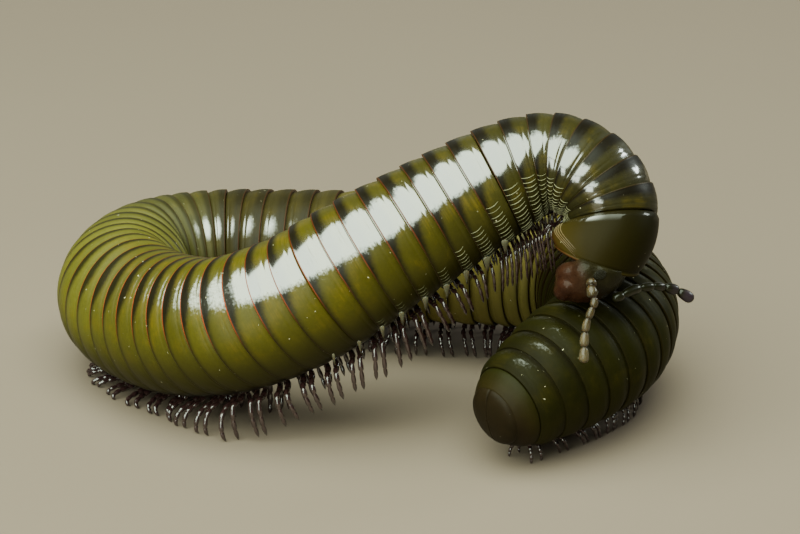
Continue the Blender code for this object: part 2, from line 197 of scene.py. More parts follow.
@dataclass
class Frames:
    """Centres and directions at a row of places along the body."""

    centre: np.ndarray
    along: np.ndarray
    belly: np.ndarray
    side: np.ndarray
    bend: np.ndarray


@dataclass
class Body:
    """The middle line of the animal with its frames, girth and ring margins, as the solids have them."""

    step: float = 0.1
    smoothing: float = 1.2
    collum_end: float = 2.9
    ring_pitch: float = 2.45
    bend_share: float = 0.65
    bend_tuck: float = 0.22
    telson_length: float = 2.7
    neck_carry: float = 14.0
    seam: float = 0.3
    line: np.ndarray = field(init=False)
    places: np.ndarray = field(init=False)
    length: float = field(init=False)
    along: np.ndarray = field(init=False)
    bend: np.ndarray = field(init=False)
    belly: np.ndarray = field(init=False)
    margins: list[float] = field(init=False)

    def __post_init__(self) -> None:
        """Works out the line, its frames and the ring margins."""
        points = [p for stretch in COURSE.values() for p in stretch]
        self.line = smooth_line(points, self.step, self.smoothing)
        self.places = line_places(self.line)
        self.length = float(self.places[-1])
        gap = self.length / (len(self.line) - 1)
        self.along = unit(np.gradient(self.line, axis=0))
        self.bend = np.gradient(self.along, axis=0) / gap
        self.belly = self._carried()
        self.margins = self._ring_margins(gap)

    def _carried(self) -> np.ndarray:
        """Belly directions: down wherever the body lies, and carried on without twist up the neck."""
        belly = np.zeros_like(self.along)
        current = np.array((0.0, 0.0, -1.0))
        for i in range(len(self.along) - 1, -1, -1):
            if self.places[i] > self.neck_carry:
                current = np.array((0.0, 0.0, -1.0))
            current = unit(current - self.along[i] * (current @ self.along[i]))
            belly[i] = current
        return belly

    def _ring_margins(self, gap: float) -> list[float]:
        """Rear edges of the collum and of each ring; rings draw together where the body bends.

        Args:
            gap: distance between two points of the middle line.

        Returns:
            Distances from the head end.
        """
        covered = [0.0]
        spots = [self.collum_end]
        for place, bend in zip(self.places, self.bend):
            if self.collum_end < place < self.length - self.telson_length:
                curl = np.linalg.norm(bend) * float(self.radius(place))
                covered.append(covered[-1] + gap * (1.0 + self.bend_share * curl) / self.ring_pitch)
                spots.append(place)
        rings = round(covered[-1])
        return [float(np.interp(covered[-1] * k / rings, covered, spots)) for k in range(rings + 1)]

    def radius(self, places: np.ndarray | float) -> np.ndarray | float:
        """Half thickness at distances from the head end."""
        return keyed(list(GIRTH) + [(self.length - back, r) for back, r in TAIL_GIRTH], places)

    def frames(self, places: Sequence[float] | np.ndarray) -> Frames:
        """Centres and directions at several distances from the head end.

        Args:
            places: the distances.

        Returns:
            One row per place in each of its parts.
        """
        at = np.asarray(places, float)

        def read(rows: np.ndarray) -> np.ndarray:
            """Reads rows of the line between its points."""
            return np.stack([np.interp(at, self.places, rows[:, k]) for k in range(3)], 1)

        along = unit(read(self.along))
        belly = read(self.belly)
        belly = unit(belly - along * (belly * along).sum(1, keepdims=True))
        return Frames(read(self.line), along, belly, np.cross(along, belly), read(self.bend))

    def surface(self, places: np.ndarray, turns: np.ndarray, scale: np.ndarray,
                lift: np.ndarray | float = 0.0, ahead: np.ndarray | float = 0.0) -> np.ndarray:
        """Points on the trunk.

        Args:
            places: distance from the head end, any shape.
            turns: angle from the belly in radians, the same shape.
            scale: share of the radius, the same shape.
            lift: height over that surface in millimetres.
            ahead: shift toward the tail without a turn of the frame.

        Returns:
            Points with one more axis than places.
        """
        shape = np.shape(places)
        flat = np.asarray(places, float).ravel()
        f = self.frames(flat)
        turn, size, height, shift = (np.broadcast_to(grid, shape).ravel()[:, None]
                                     for grid in (turns, scale, lift, ahead))
        size = size * self.radius(flat)[:, None]
        out = f.belly * np.cos(turn) + f.side * np.sin(turn)
        inward = np.maximum(0.0, (f.bend * out).sum(1, keepdims=True) * size)
        reach = size * (1.0 - self.bend_tuck * inward ** 1.5) + height
        return (f.centre + f.along * shift + out * reach).reshape(*shape, 3)


class Mesher:
    """One mesh object grown from bmesh grids that are rolled into sleeves, and from balls."""

    def __init__(self, name: str, attributes: Sequence[str] = ()) -> None:
        """Starts an empty mesh.

        Args:
            name: the object's name.
            attributes: names of the values that its points carry.
        """
        self.name = name
        self.bm = bmesh.new()
        self.bm.loops.layers.uv.new(UV_NAME)
        self.layers = {key: self.bm.verts.layers.float.new(key) for key in attributes}

    def sleeve(self, rows: np.ndarray, values: dict[str, np.ndarray]) -> None:
        """Rolls a grid into a sleeve; end rows that shrink to a point close it.

        Args:
            rows: points by row along and column around.
            values: attribute values of the same rows and columns.
        """
        count, around = rows.shape[:2]
        made = bmesh.ops.create_grid(self.bm, x_segments=around, y_segments=count - 1, size=0.5,
                                     calc_uvs=True)
        for vert in made["verts"]:
            column = round((vert.co.x + 0.5) * around) % around
            row = round((vert.co.y + 0.5) * (count - 1))
            vert.co = Vector(rows[row, column]) * MM
            for key, grid in values.items():
                vert[self.layers[key]] = float(grid[row, column])
        bmesh.ops.remove_doubles(self.bm, verts=made["verts"], dist=WELD)

    def rod(self, rows: np.ndarray, tone: np.ndarray | float) -> None:
        """Adds a rod.

        Args:
            rows: its points by row and column.
            tone: the value "tone" of each row, or of all.
        """
        values = np.broadcast_to(np.reshape(tone, (-1, 1)), rows.shape[:2])
        self.sleeve(rows, {"tone": values})

    def ball(self, matrix: Matrix, sides: int, rows: int, values: dict[str, float] | None = None,
             shape: Callable[[Vector], Vector] | None = None) -> None:
        """Adds a sphere of radius one, shaped and then placed by a matrix in metres.

        Args:
            matrix: place, turn and size.
            sides: faces round it.
            rows: faces from pole to pole.
            values: attribute values of all its points.
            shape: moves each point of the sphere before the matrix does.
        """
        made = bmesh.ops.create_uvsphere(self.bm, u_segments=sides, v_segments=rows, radius=1.0)
        for vert in made["verts"]:
            if shape is not None:
                vert.co = shape(vert.co.copy())
            for key, number in (values or {}).items():
                vert[self.layers[key]] = number
        bmesh.ops.transform(self.bm, matrix=matrix, verts=made["verts"])

    def finish(self, material: bpy.types.Material, nodes: Sequence[str] = ()) -> None:
        """Makes the object, moves it to the frame's origin and lets it ride on the body.

        Args:
            material: its finish.
            nodes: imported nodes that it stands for.
        """
        bmesh.ops.translate(self.bm, verts=self.bm.verts, vec=-Vector(MIDDLE) * MM)
        bmesh.ops.recalc_face_normals(self.bm, faces=self.bm.faces)
        mesh = bpy.data.meshes.new(self.name)
        self.bm.to_mesh(mesh)
        self.bm.free()
        mesh.shade_smooth()
        mesh.materials.append(material)
        piece = bpy.data.objects.new(self.name, mesh)
        bpy.context.scene.collection.objects.link(piece)
        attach(piece, "root")
        if nodes:
            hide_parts(*nodes)
        LOG.info("%s: %d faces", self.name, len(mesh.polygons))


# Direction from which the points round a rod are counted; no rod runs this way
ANY_WAY: Point = (0.36, 0.48, 0.8)


def rod_rows(points: np.ndarray, radii: np.ndarray, sides: int, flat: float = 1.0,
             across: np.ndarray | None = None) -> np.ndarray:
    """Rows of a bent, tapering rod that starts and ends in a point.

    Args:
        points: its middle line.
        radii: radius at each point.
        sides: points round it.
        flat: thickness across the first direction as a share of the other.
        across: the direction that is flattened, or None for any.

    Returns:
        Points by row and column, closed at both ends.
    """
    along = unit(np.gradient(points, axis=0))
    current = np.array(ANY_WAY if across is None else across)
    rows = [np.repeat(points[:1], sides, 0)]
    turns = 2 * math.pi * np.arange(sides) / sides
    for centre, axis, radius in zip(points, along, radii):
        current = unit(current - axis * (current @ axis))
        third = np.cross(axis, current)
        ring = flat * np.cos(turns)[:, None] * current + np.sin(turns)[:, None] * third
        rows.append(centre + radius * ring)
    rows.append(np.repeat(points[-1:], sides, 0))
    return np.array(rows)


class Graph:
    """Adds nodes to one tree. An input given as a socket is linked, and any other value is set on it."""

    def __init__(self, tree: bpy.types.NodeTree) -> None:
        """Takes the tree that nodes are added to."""
        self.tree = tree

    def add(self, kind: str, inputs: dict[str | int, object] | None = None,
            **settings: object) -> bpy.types.Node:
        """Adds a node.

        Args:
            kind: the node's type without the prefix ShaderNode.
            inputs: sockets or values by input name or number.
            settings: the node's own options.

        Returns:
            The new node.
        """
        made = self.tree.nodes.new(f"ShaderNode{kind}")
        for key, option in settings.items():
            setattr(made, key, option)
        for key, given in (inputs or {}).items():
            self.feed(made.inputs[key], given)
        return made

    def feed(self, socket: bpy.types.NodeSocket, given: object) -> None:
        """Links a socket to the input, or sets the value on it.

        Args:
            socket: the input.
            given: a socket, a colour or a number.
        """
        if isinstance(given, bpy.types.NodeSocket):
            self.tree.links.new(given, socket)
        elif isinstance(given, tuple) and len(given) == 3 and socket.type == "RGBA":
            socket.default_value = (*given, 1.0)
        else:
            socket.default_value = given

    def math(self, operation: str, *values: object) -> bpy.types.NodeSocket:
        """A Math node's result."""
        return self.add("Math", dict(enumerate(values)), operation=operation).outputs[0]

    def span(self, given: object, low: float, high: float, start: float = 0.0,
             end: float = 1.0) -> bpy.types.NodeSocket:
        """A soft, clamped step from start at low to end at high."""
        inputs = {"Value": given, "From Min": low, "From Max": high, "To Min": start, "To Max": end}
        return self.add("MapRange", inputs, interpolation_type="SMOOTHSTEP").outputs["Result"]

    def mix(self, share: object, first: object, second: object, blend: str = "MIX") -> bpy.types.NodeSocket:
        """A colour mix.

        Args:
            share: how much of the second colour there is.
            first: a colour or its socket.
            second: a colour or its socket.
            blend: the way they are mixed.

        Returns:
            The mixed colour.
        """
        made = self.add("Mix", {"Factor": share}, data_type="RGBA", blend_type=blend)
        self.feed(made.inputs[6], first)
        self.feed(made.inputs[7], second)
        return made.outputs[2]

    def ramp(self, given: object, stops: Sequence[tuple[float, Point]]) -> bpy.types.NodeSocket:
        """A colour ramp.

        Args:
            given: the value that runs along it.
            stops: place and colour of each stop.

        Returns:
            The colour at the value.
        """
        made = self.add("ValToRGB", {"Fac": given})
        bar = made.color_ramp.elements
        while len(bar) < len(stops):
            bar.new(1.0)
        for element, (place, colour) in zip(bar, stops):
            element.position = place
            element.color = (*colour, 1.0)
        return made.outputs["Color"]

    def attribute(self, name: str) -> bpy.types.NodeSocket:
        """A value that the mesh's points carry."""
        return self.add("Attribute", attribute_name=name).outputs["Fac"]

    def noise(self, vector: object, scale: float, detail: float, roughness: float) -> bpy.types.NodeSocket:
        """Fractal noise from 0 to 1."""
        inputs = {"Vector": vector, "Scale": scale, "Detail": detail, "Roughness": roughness}
        return self.add("TexNoise", inputs).outputs["Fac"]

    def scaled(self, colour: object, factor: object) -> bpy.types.NodeSocket:
        """A colour times a factor."""
        grey = self.add("CombineColor", {channel: factor for channel in range(3)})
        return self.mix(1.0, colour, grey.outputs[0], "MULTIPLY")

    def place(self) -> bpy.types.NodeSocket:
        """Object coordinates in metres."""
        return self.add("TexCoord").outputs["Object"]


# Names of the two shared effects, and how far the outline of a fleck wanders, in metres
SCRATCHES = "Fine scratches"
FLECKS = "Dust flecks"
FLECK_WOBBLE = 0.00022


def new_group(name: str, inputs: dict[str, float],
              outputs: Sequence[str]) -> tuple[Graph, bpy.types.Node, bpy.types.Node]:
    """An empty group of nodes.

    Args:
        name: the group's name.
        inputs: input names with their values where nothing is linked.
        outputs: output names.

    Returns:
        The graph inside, its input node and its output node.
    """
    tree = bpy.data.node_groups.new(name, "ShaderNodeTree")
    for key, number in inputs.items():
        socket = tree.interface.new_socket(name=key, in_out="INPUT", socket_type="NodeSocketFloat")
        socket.default_value = number
    for key in outputs:
        tree.interface.new_socket(name=key, in_out="OUTPUT", socket_type="NodeSocketFloat")
    graph = Graph(tree)
    return graph, tree.nodes.new("NodeGroupInput"), tree.nodes.new("NodeGroupOutput")


def scratch_group() -> bpy.types.NodeTree:
    """Fine scratches that run round a ring: a height and a mask, from distances around and along."""
    inputs = {"Around": 0.0, "Along": 0.0, "Density": 9.0}
    graph, given, result = new_group(SCRATCHES, inputs, ("Height", "Mask"))
    lines = []
    for stretch, share in ((0.22, 1.0), (0.9, 0.45)):
        vector = graph.add("CombineXYZ", {
            "X": graph.math("MULTIPLY", given.outputs["Around"], stretch),
            "Y": graph.math("MULTIPLY", given.outputs["Along"], given.outputs["Density"])})
        lines.append(graph.noise(vector.outputs[0], share, 4.0, 0.62))
    both = graph.math("MULTIPLY_ADD", lines[0], 0.65, graph.math("MULTIPLY", lines[1], 0.35))
    graph.feed(result.inputs["Height"], both)
    graph.feed(result.inputs["Mask"], graph.span(both, 0.44, 0.60))
    return graph.tree


def fleck_group() -> bpy.types.NodeTree:
    """Tiny pale flecks of dust, by object coordinates: a mask that is 1 on a fleck."""
    graph, given, result = new_group(FLECKS, {"Scale": 600.0, "Size": 0.10, "Amount": 0.5}, ("Mask",))
    spot = graph.place()
    wobble = graph.add("TexNoise", {"Vector": spot, "Scale": 9000.0, "Detail": 1.0})
    moved = graph.add("VectorMath", {0: wobble.outputs["Color"], 1: (FLECK_WOBBLE,) * 3, 2: spot},
                      operation="MULTIPLY_ADD")
    cells = graph.add("TexVoronoi", {"Vector": moved.outputs[0], "Scale": given.outputs["Scale"]})
    tint = graph.add("SeparateColor", {"Color": cells.outputs["Color"]})
    size = graph.math("MULTIPLY", given.outputs["Size"], tint.outputs["Green"])
    near = graph.math("LESS_THAN", cells.outputs["Distance"], size)
    kept = graph.math("LESS_THAN", tint.outputs["Red"], given.outputs["Amount"])
    graph.feed(result.inputs["Mask"], graph.math("MULTIPLY", near, kept))
    return graph.tree


@dataclass(frozen=True)
class Finish:
    """What every finish has: a name and the shader's own plain values."""

    name: str
    specular: float = 0.22
    coat_roughness: float = 0.10
    coat_ior: float = 2.5
    fleck_amount: float = 0.35
    fleck_scale: float = 620.0
    fleck_size: float = 0.10
    fleck_colour: Point = (0.42, 0.38, 0.26)

    def start(self) -> tuple[bpy.types.Material, Graph, bpy.types.Node]:
        """A new material, its graph and its shader with the plain values set."""
        material = bpy.data.materials.new(self.name)
        material.use_nodes = True
        shader = material.node_tree.nodes["Principled BSDF"]
        shader.inputs["Specular IOR Level"].default_value = self.specular
        shader.inputs["Coat Weight"].default_value = 0.0
        shader.inputs["Coat Roughness"].default_value = self.coat_roughness
        shader.inputs["Coat IOR"].default_value = self.coat_ior
        return material, Graph(material.node_tree), shader

    def flecks(self, graph: Graph) -> bpy.types.NodeSocket:
        """The mask of this finish's dust.

        Args:
            graph: the material's graph.

        Returns:
            1 on a fleck.
        """
        made = graph.add("Group", node_tree=bpy.data.node_groups[FLECKS])
        for key, number in (("Scale", self.fleck_scale), ("Size", self.fleck_size),
                            ("Amount", self.fleck_amount)):
            made.inputs[key].default_value = number
        return made.outputs["Mask"]


@dataclass(frozen=True)
class RingFinish(Finish):
    """Olive ring shell: orange rim, dark band ahead of it, golden-green field with fine scratches, with
    painted shade and light.
    """

    # Colour along the body by share of its length. The bright stops at 0.66 and 0.75 are painted light on the
    # stretch behind the legs, which lies in shade.
    hues: tuple[tuple[float, Point], ...] = (
        (0.00, (0.018, 0.015, 0.006)), (0.08, (0.027, 0.023, 0.006)), (0.15, (0.037, 0.031, 0.004)),
        (0.22, (0.052, 0.043, 0.004)), (0.28, (0.054, 0.046, 0.004)), (0.36, (0.058, 0.050, 0.006)),
        (0.43, (0.094, 0.087, 0.012)), (0.48, (0.052, 0.048, 0.014)), (0.54, (0.026, 0.020, 0.005)),
        (0.60, (0.026, 0.020, 0.005)), (0.66, (0.150, 0.118, 0.024)), (0.75, (0.130, 0.104, 0.024)),
        (0.81, (0.020, 0.018, 0.003)), (0.88, (0.012, 0.011, 0.001)), (1.00, (0.008, 0.007, 0.001)))
    # Colour of the dark band, also used for painted shade on the tail rings
    band_and_shade_colour: Point = (0.0050, 0.0035, 0.0020)
    gold_colour: Point = (0.085, 0.058, 0.004)
    # Painted shade: the low flank and the belly are drawn darker, as the light from above leaves them
    low_flank_shade_colour: Point = (0.017, 0.014, 0.003)
    belly_shade_colour: Point = (0.008, 0.006, 0.004)
    strip_colour: Point = (0.09, 0.05, 0.010)
    rim_bright: Point = (0.30, 0.040, 0.006)
    rim_dull: Point = (0.018, 0.011, 0.003)
    specular: float = 0.11
    roughness: float = 0.40
    coat_roughness: float = 0.13
    fleck_amount: float = 0.6
    fleck_scale: float = 1300.0
    fleck_size: float = 0.09
    scratch_depth: float = 0.000022

    def material(self) -> bpy.types.Material:
        """The ring shell material."""
        material, g, shader = self.start()
        share = g.attribute("ring_share")
        back = g.attribute("back")
        scratch = g.add("Group", {"Around": g.attribute("around"), "Along": g.attribute("along")},
                        node_tree=bpy.data.node_groups[SCRATCHES])
        cloud = g.noise(g.place(), 420.0, 4.0, 0.6)
        speckle = g.noise(g.place(), 3600.0, 2.0, 0.6)
        # Mask of the low flank, which painted shade darkens
        low = g.span(back, 0.15, -0.65)
        colour = self._field(g, back, low, cloud, speckle, scratch.outputs["Mask"])
        rim = g.math("MULTIPLY", g.span(share, 0.938, 0.958), g.span(back, -0.85, -0.45))
        rim = g.math("MULTIPLY", rim, g.attribute("rim"))
        colour = self._edges(g, colour, share, rim, cloud, speckle)
        flecks = self.flecks(g)
        g.feed(shader.inputs["Base Color"], g.mix(flecks, colour, self.fleck_colour))

        worn = g.math("MULTIPLY_ADD", scratch.outputs["Mask"], 0.12, self.roughness - 0.05)
        worn = g.math("MULTIPLY_ADD", g.attribute("matt"), 0.16, worn)
        g.feed(shader.inputs["Roughness"], g.math("ADD", worn, g.math("MULTIPLY", flecks, 0.3)))
        fuzz = g.math("MULTIPLY_ADD", speckle, 0.9, -0.94)
        fuzz = g.math("MULTIPLY_ADD", scratch.outputs["Height"], 0.98, fuzz)
        fuzz = g.math("MULTIPLY", fuzz, g.attribute("fuzz"))
        coat = g.span(g.math("ADD", g.attribute("gloss"), fuzz), 0.18, 0.88)
        coat = g.math("MULTIPLY", coat, g.span(scratch.outputs["Height"], 0.68, 0.58, 0.55, 1.0))
        coat = g.math("MULTIPLY", coat, g.attribute("shine"))
        coat = g.math("MULTIPLY", coat, g.math("MULTIPLY_ADD", rim, -0.85, 1.0))
        g.feed(shader.inputs["Coat Weight"], g.math("MULTIPLY", coat, g.math("SUBTRACT", 1.0, flecks)))
        height = g.math("MULTIPLY", scratch.outputs["Height"], g.attribute("scratch"))
        height = g.math("ADD", height, g.math("MULTIPLY", cloud, 0.25))
        bump = g.add("Bump", {"Height": g.math("ADD", height, flecks), "Strength": 0.5,
                              "Distance": self.scratch_depth})
        g.feed(shader.inputs["Normal"], bump.outputs[0])
        return material

    def _field(self, g: Graph, back: bpy.types.NodeSocket, low: bpy.types.NodeSocket,
               cloud: bpy.types.NodeSocket, speckle: bpy.types.NodeSocket,
               scratch: bpy.types.NodeSocket) -> bpy.types.NodeSocket:
        """The colour of the open field of a ring.

        Args:
            g: the material's graph.
            back: 1 on the middle of the back, -1 on the belly.
            low: 1 on the low flank, where painted shade darkens the field.
            cloud: coarse noise.
            speckle: fine noise.
            scratch: mask of the scratches.

        Returns:
            The colour.
        """
        colour = g.ramp(g.attribute("body_share"), self.hues)
        golden = g.math("MULTIPLY", g.span(cloud, 0.46, 0.66), g.math("MULTIPLY_ADD", scratch, 0.6, 0.2))
        golden = g.math("MULTIPLY", golden, g.attribute("golden"))
        colour = g.mix(golden, colour, self.gold_colour)
        patch = g.math("MULTIPLY_ADD", cloud, 0.5, g.math("MULTIPLY_ADD", speckle, 0.35, 0.56))
        patch = g.math("MULTIPLY", patch, g.math("MULTIPLY_ADD", g.attribute("ring_tint"), 0.24, 0.88))
        colour = g.scaled(colour, patch)
        # Painted shade on the low flank, then darker still on the belly
        colour = g.mix(g.math("MULTIPLY", low, g.attribute("low_depth")), colour, self.low_flank_shade_colour)
        # Painted shade in the front part of the tail rings, under the lip of the ring ahead, in the band's
        # dark colour
        colour = g.mix(g.attribute("shade"), colour, self.band_and_shade_colour)
        return g.mix(g.span(back, -0.70, -0.92), colour, self.belly_shade_colour)

    def _edges(self, g: Graph, colour: bpy.types.NodeSocket, share: bpy.types.NodeSocket,
               rim: bpy.types.NodeSocket, cloud: bpy.types.NodeSocket,
               speckle: bpy.types.NodeSocket) -> bpy.types.NodeSocket:
        """Adds the dark band with its fuzzy edge, the pale strip behind the last rim and the rim itself; the
        strip and the rim's brightness are partly painted light.

        Args:
            g: the material's graph.
            colour: the field's colour.
            share: share of the ring's length.
            rim: mask of the rim.
            cloud: coarse noise.
            speckle: fine noise.

        Returns:
            The colour.
        """
        edge = g.math("ADD", share, g.math("MULTIPLY", g.math("SUBTRACT", speckle, 0.5), 0.18))
        edge = g.math("ADD", edge, g.math("MULTIPLY", g.math("SUBTRACT", cloud, 0.5), 0.12))
        start = g.math("SUBTRACT", 0.97, g.attribute("band_width"))
        band = g.span(g.math("SUBTRACT", edge, start), -0.06, 0.26)
        colour = g.mix(g.math("MULTIPLY", band, g.attribute("band_depth")), colour, self.band_and_shade_colour)
        # The rim's own orange and the pale strip behind it are drawn brighter by rim_glow, which carries
        # painted light
        glow = g.attribute("rim_glow")
        strip = g.math("MULTIPLY", g.span(share, 0.12, 0.03), glow)
        colour = g.mix(g.math("MULTIPLY", strip, 0.35), colour, self.strip_colour)
        return g.mix(rim, colour, g.mix(glow, self.rim_dull, self.rim_bright))


@dataclass(frozen=True)
class GradedFinish(Finish):
    """A glossy shell whose colour runs along one value that its points carry, mottled and dusted."""

    hues: tuple[tuple[float, Point], ...] = ((0.0, (0.03, 0.02, 0.01)), (1.0, (0.05, 0.04, 0.01)))
    roughness: float = 0.32
    gloss: float = 0.5
    driven_gloss: bool = False
    mottle: float = 0.5
    mottle_scale: float = 700.0
    bump: float = 0.00002
    subsurface: float = 0.0
    subsurface_radius: Point = (0.0004, 0.0002, 0.0001)

    def material(self) -> bpy.types.Material:
        """The graded shell material."""
        material, g, shader = self.start()
        cloud = g.noise(g.place(), self.mottle_scale, 4.0, 0.6)
        grain = g.noise(g.place(), self.mottle_scale * 7.0, 2.0, 0.5)
        drift = g.math("MULTIPLY", g.math("SUBTRACT", cloud, 0.5), 0.22)
        tone = g.math("ADD", g.attribute("tone"), drift)
        colour = g.ramp(tone, self.hues)
        light = g.math("MULTIPLY_ADD", cloud, self.mottle, 1.0 - 0.5 * self.mottle)
        colour = g.scaled(colour, light)
        flecks = self.flecks(g)
        g.feed(shader.inputs["Base Color"], g.mix(flecks, colour, self.fleck_colour))
        rough = g.math("MULTIPLY_ADD", grain, 0.14, self.roughness - 0.07)
        g.feed(shader.inputs["Roughness"], g.math("ADD", rough, g.math("MULTIPLY", flecks, 0.4)))
        shine = g.attribute("gloss") if self.driven_gloss else self.gloss
        g.feed(shader.inputs["Coat Weight"], shine)
        height = g.math("ADD", g.math("MULTIPLY_ADD", grain, 0.35, cloud), flecks)
        bump = g.add("Bump", {"Height": height, "Strength": 0.5, "Distance": self.bump})
        g.feed(shader.inputs["Normal"], bump.outputs[0])
        if self.subsurface > 0.0:
            shader.inputs["Subsurface Weight"].default_value = self.subsurface
            shader.inputs["Subsurface Radius"].default_value = self.subsurface_radius
            shader.inputs["Subsurface Scale"].default_value = 1.0
        return material


@dataclass
class RingShells:
    """The trunk's ring shells: each ends in a thin lip that stands over the front of the next ring."""

    body: Body
    material: bpy.types.Material
    sides: int = 144
    # Across a ring: share of its length, share of the radius's rise from the front to the lip
    profile: Keys = ((0.03, 0.00), (0.08, 0.12), (0.15, 0.26), (0.23, 0.38), (0.265, 0.34), (0.30, 0.46),
                     (0.39, 0.58), (0.49, 0.69), (0.59, 0.79), (0.69, 0.87), (0.78, 0.94), (0.86, 0.98),
                     (0.92, 1.00), (0.95, 1.04), (0.970, 1.08), (0.988, 1.07), (1.0, 0.98))
    front: float = 0.955
    lip_undercut: float = 0.03
    relief: Keys = ((0.0, 1.0), (20.0, 1.0), (120.0, 1.0), (130.0, 0.8), (139.0, 0.55), (146.0, 0.40))
    bulge: float = 0.024
    # How far a ring's bulge is let down, as a share of its height
    sink: float = 0.4
    bulges: Keys = ((2.9, 0.5), (11.0, 0.45), (17.0, 0.25), (42.0, 0.25), (54.0, 0.6), (68.0, 0.8),
                    (78.0, 0.5), (106.0, 0.5), (122.0, 1.1), (132.0, 1.7), (146.0, 1.9))
    # Lean of the rings in the left turn, as a share of the radius: belly toward the head, then left side
    leans: Keys = ((3.0, 0.0), (33.0, 0.0), (39.0, 0.14), (50.0, 0.20), (56.0, 0.22), (66.0, 0.10),
                   (74.0, 0.0))
    slants: Keys = ((3.0, 0.0), (33.0, 0.0), (39.0, -0.16), (42.0, -0.22), (46.0, -0.12), (50.0, 0.0))
    belly_flat: float = 0.09
    belly_width: float = 0.60
    # Stretches of the body: soft start and soft end, as distances from the head end
    crown: tuple[float, ...] = (3.6, 4.6, 6.0, 8.0)
    left_turn: tuple[float, ...] = (38.4, 40.4, 60.0, 66.0)
    back_run: tuple[float, ...] = (68.0, 72.0, 102.0, 112.0)
    tail: tuple[float, float] = (124.0, 130.0)
    # Looks along the body: distance from the head end, then the value that the finish reads
    band_widths: Keys = ((3.0, 0.50), (12.0, 0.54), (24.0, 0.48), (36.0, 0.38), (46.0, 0.38), (58.0, 0.38),
                         (64.0, 0.46), (80.0, 0.50), (112.0, 0.40), (146.0, 0.30))
    # Painted dark reflection: the dark band is drawn wider around the height of the highlight, beside and
    # under it
    band_spreads: Keys = ((3.0, 0.0), (12.0, 0.0), (18.0, 0.16), (44.0, 0.20), (56.0, 0.26), (62.0, 0.0))
    # Height on the back where the painted dark reflection widens the dark band most, and how far that reaches
    spread_height: float = 0.68
    spread_reach: float = 0.24
    band_depths: Keys = ((3.0, 0.95), (45.0, 0.95), (64.0, 0.85), (72.0, 0.55), (88.0, 0.5), (112.0, 0.7),
                         (126.0, 0.35), (146.0, 0.25))
    rims: Keys = ((3.0, 1.0), (114.0, 1.0), (126.0, 0.6), (134.0, 0.15), (146.0, 0.0))
    rim_glows: Keys = ((3.0, 0.0), (14.0, 0.05), (24.0, 0.20), (36.0, 0.45), (43.0, 1.0), (55.0, 1.0),
                       (60.0, 0.4), (66.0, 0.10), (82.0, 0.08), (112.0, 0.05), (122.0, 0.0), (146.0, 0.0))
    # Depth of the painted shade on the low flank by place; less from 90 to 110
    low_depths: Keys = ((3.0, 0.85), (82.0, 0.85), (90.0, 0.25), (110.0, 0.25), (118.0, 0.7), (146.0, 0.85))
    goldens: Keys = ((3.0, 0.5), (20.0, 0.8), (36.0, 1.0), (54.0, 0.9), (64.0, 0.4), (82.0, 0.3),
                     (146.0, 0.1))
    glosses: Keys = ((3.0, 1.10), (38.6, 1.10), (39.8, 0.84), (42.0, 0.72), (43.5, 0.62), (45.5, 0.52),
                     (47.5, 0.42), (50.0, 0.32), (54.0, 0.10), (57.0, 0.0), (72.5, 0.0), (74.0, 0.7),
                     (75.5, 1.15), (79.0, 1.0), (83.5, 0.8), (87.0, 0.2), (114.0, 0.0), (120.0, 0.5),
                     (126.0, 0.66), (133.0, 0.78), (139.0, 0.72), (146.0, 0.55))
    # Edges of the polished band by place, as the cosine of the angle from the middle of the back
    gloss_low: Keys = ((3.0, 0.37), (5.6, 0.36), (7.2, 0.35), (8.3, 0.35), (9.5, 0.36), (12.0, 0.38),
                       (14.0, 0.45), (17.0, 0.54), (30.0, 0.52), (47.0, 0.57), (72.0, 0.64), (86.0, 0.64),
                       (114.0, 0.66), (124.0, 0.79), (130.0, 0.83), (134.0, 0.90), (146.0, 0.92))
    gloss_high: Keys = ((3.0, 0.50), (6.5, 0.61), (8.0, 0.74), (9.5, 0.80), (12.0, 0.89), (17.0, 0.96),
                        (32.0, 0.92), (47.0, 0.87), (72.0, 0.83), (86.0, 0.81), (114.0, 0.84),
                        (124.0, 0.92), (130.0, 0.97), (133.0, 1.2), (146.0, 1.2))
    shines: Keys = ((3.0, 0.75), (12.0, 0.75), (20.0, 0.85), (44.0, 0.9), (50.0, 0.85), (60.0, 0.8),
                    (70.0, 1.0), (88.0, 1.0), (114.0, 0.8), (122.0, 0.55), (130.0, 0.50), (136.0, 0.36),
                    (146.0, 0.30))
    # Painted shade in the front part of each tail ring, under the lip of the ring ahead, by place
    painted_overhang_shades: Keys = ((3.0, 0.0), (112.0, 0.0), (126.0, 0.55), (146.0, 0.75))
    matts: Keys = ((3.0, 0.0), (46.0, 0.0), (58.0, 0.5), (114.0, 0.5), (136.0, 1.0), (146.0, 1.0))
    back_run_fuzz: float = 0.4
    seed: int = 11

    def build(self, name: str, first: int, last: int) -> None:
        """One length of rings.

        Args:
            name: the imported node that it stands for.
            first: number of its first ring.
            last: number after its last ring.
        """
        rng = np.random.default_rng(self.seed)
        tints = rng.uniform(0.0, 1.0, len(self.body.margins))
        rows = self._rows(first, last, tints)
        places, share, scale, tint = (np.repeat(np.array(column)[:, None], self.sides, 1)
                                      for column in zip(*rows))
        turns = 2 * math.pi * (np.arange(self.sides) + 0.5) / self.sides
        turns = np.repeat(turns[None, :], len(rows), 0)
        from_belly = np.minimum(turns, 2 * math.pi - turns)
        flat = 1.0 - self.belly_flat * np.exp(-(from_belly / self.belly_width) ** 2)
        lean = keyed(self.leans, places) * np.cos(turns) + keyed(self.slants, places) * np.sin(turns)
        ahead = -lean * self.body.radius(places) * scale
        points = self.body.surface(places, turns, scale * flat, ahead=ahead)
        values = self._values(places, share, tint, from_belly)
        mesher = Mesher(f"rings_{name}", tuple(values))
        mesher.sleeve(points, values)
        mesher.finish(self.material, (name,))

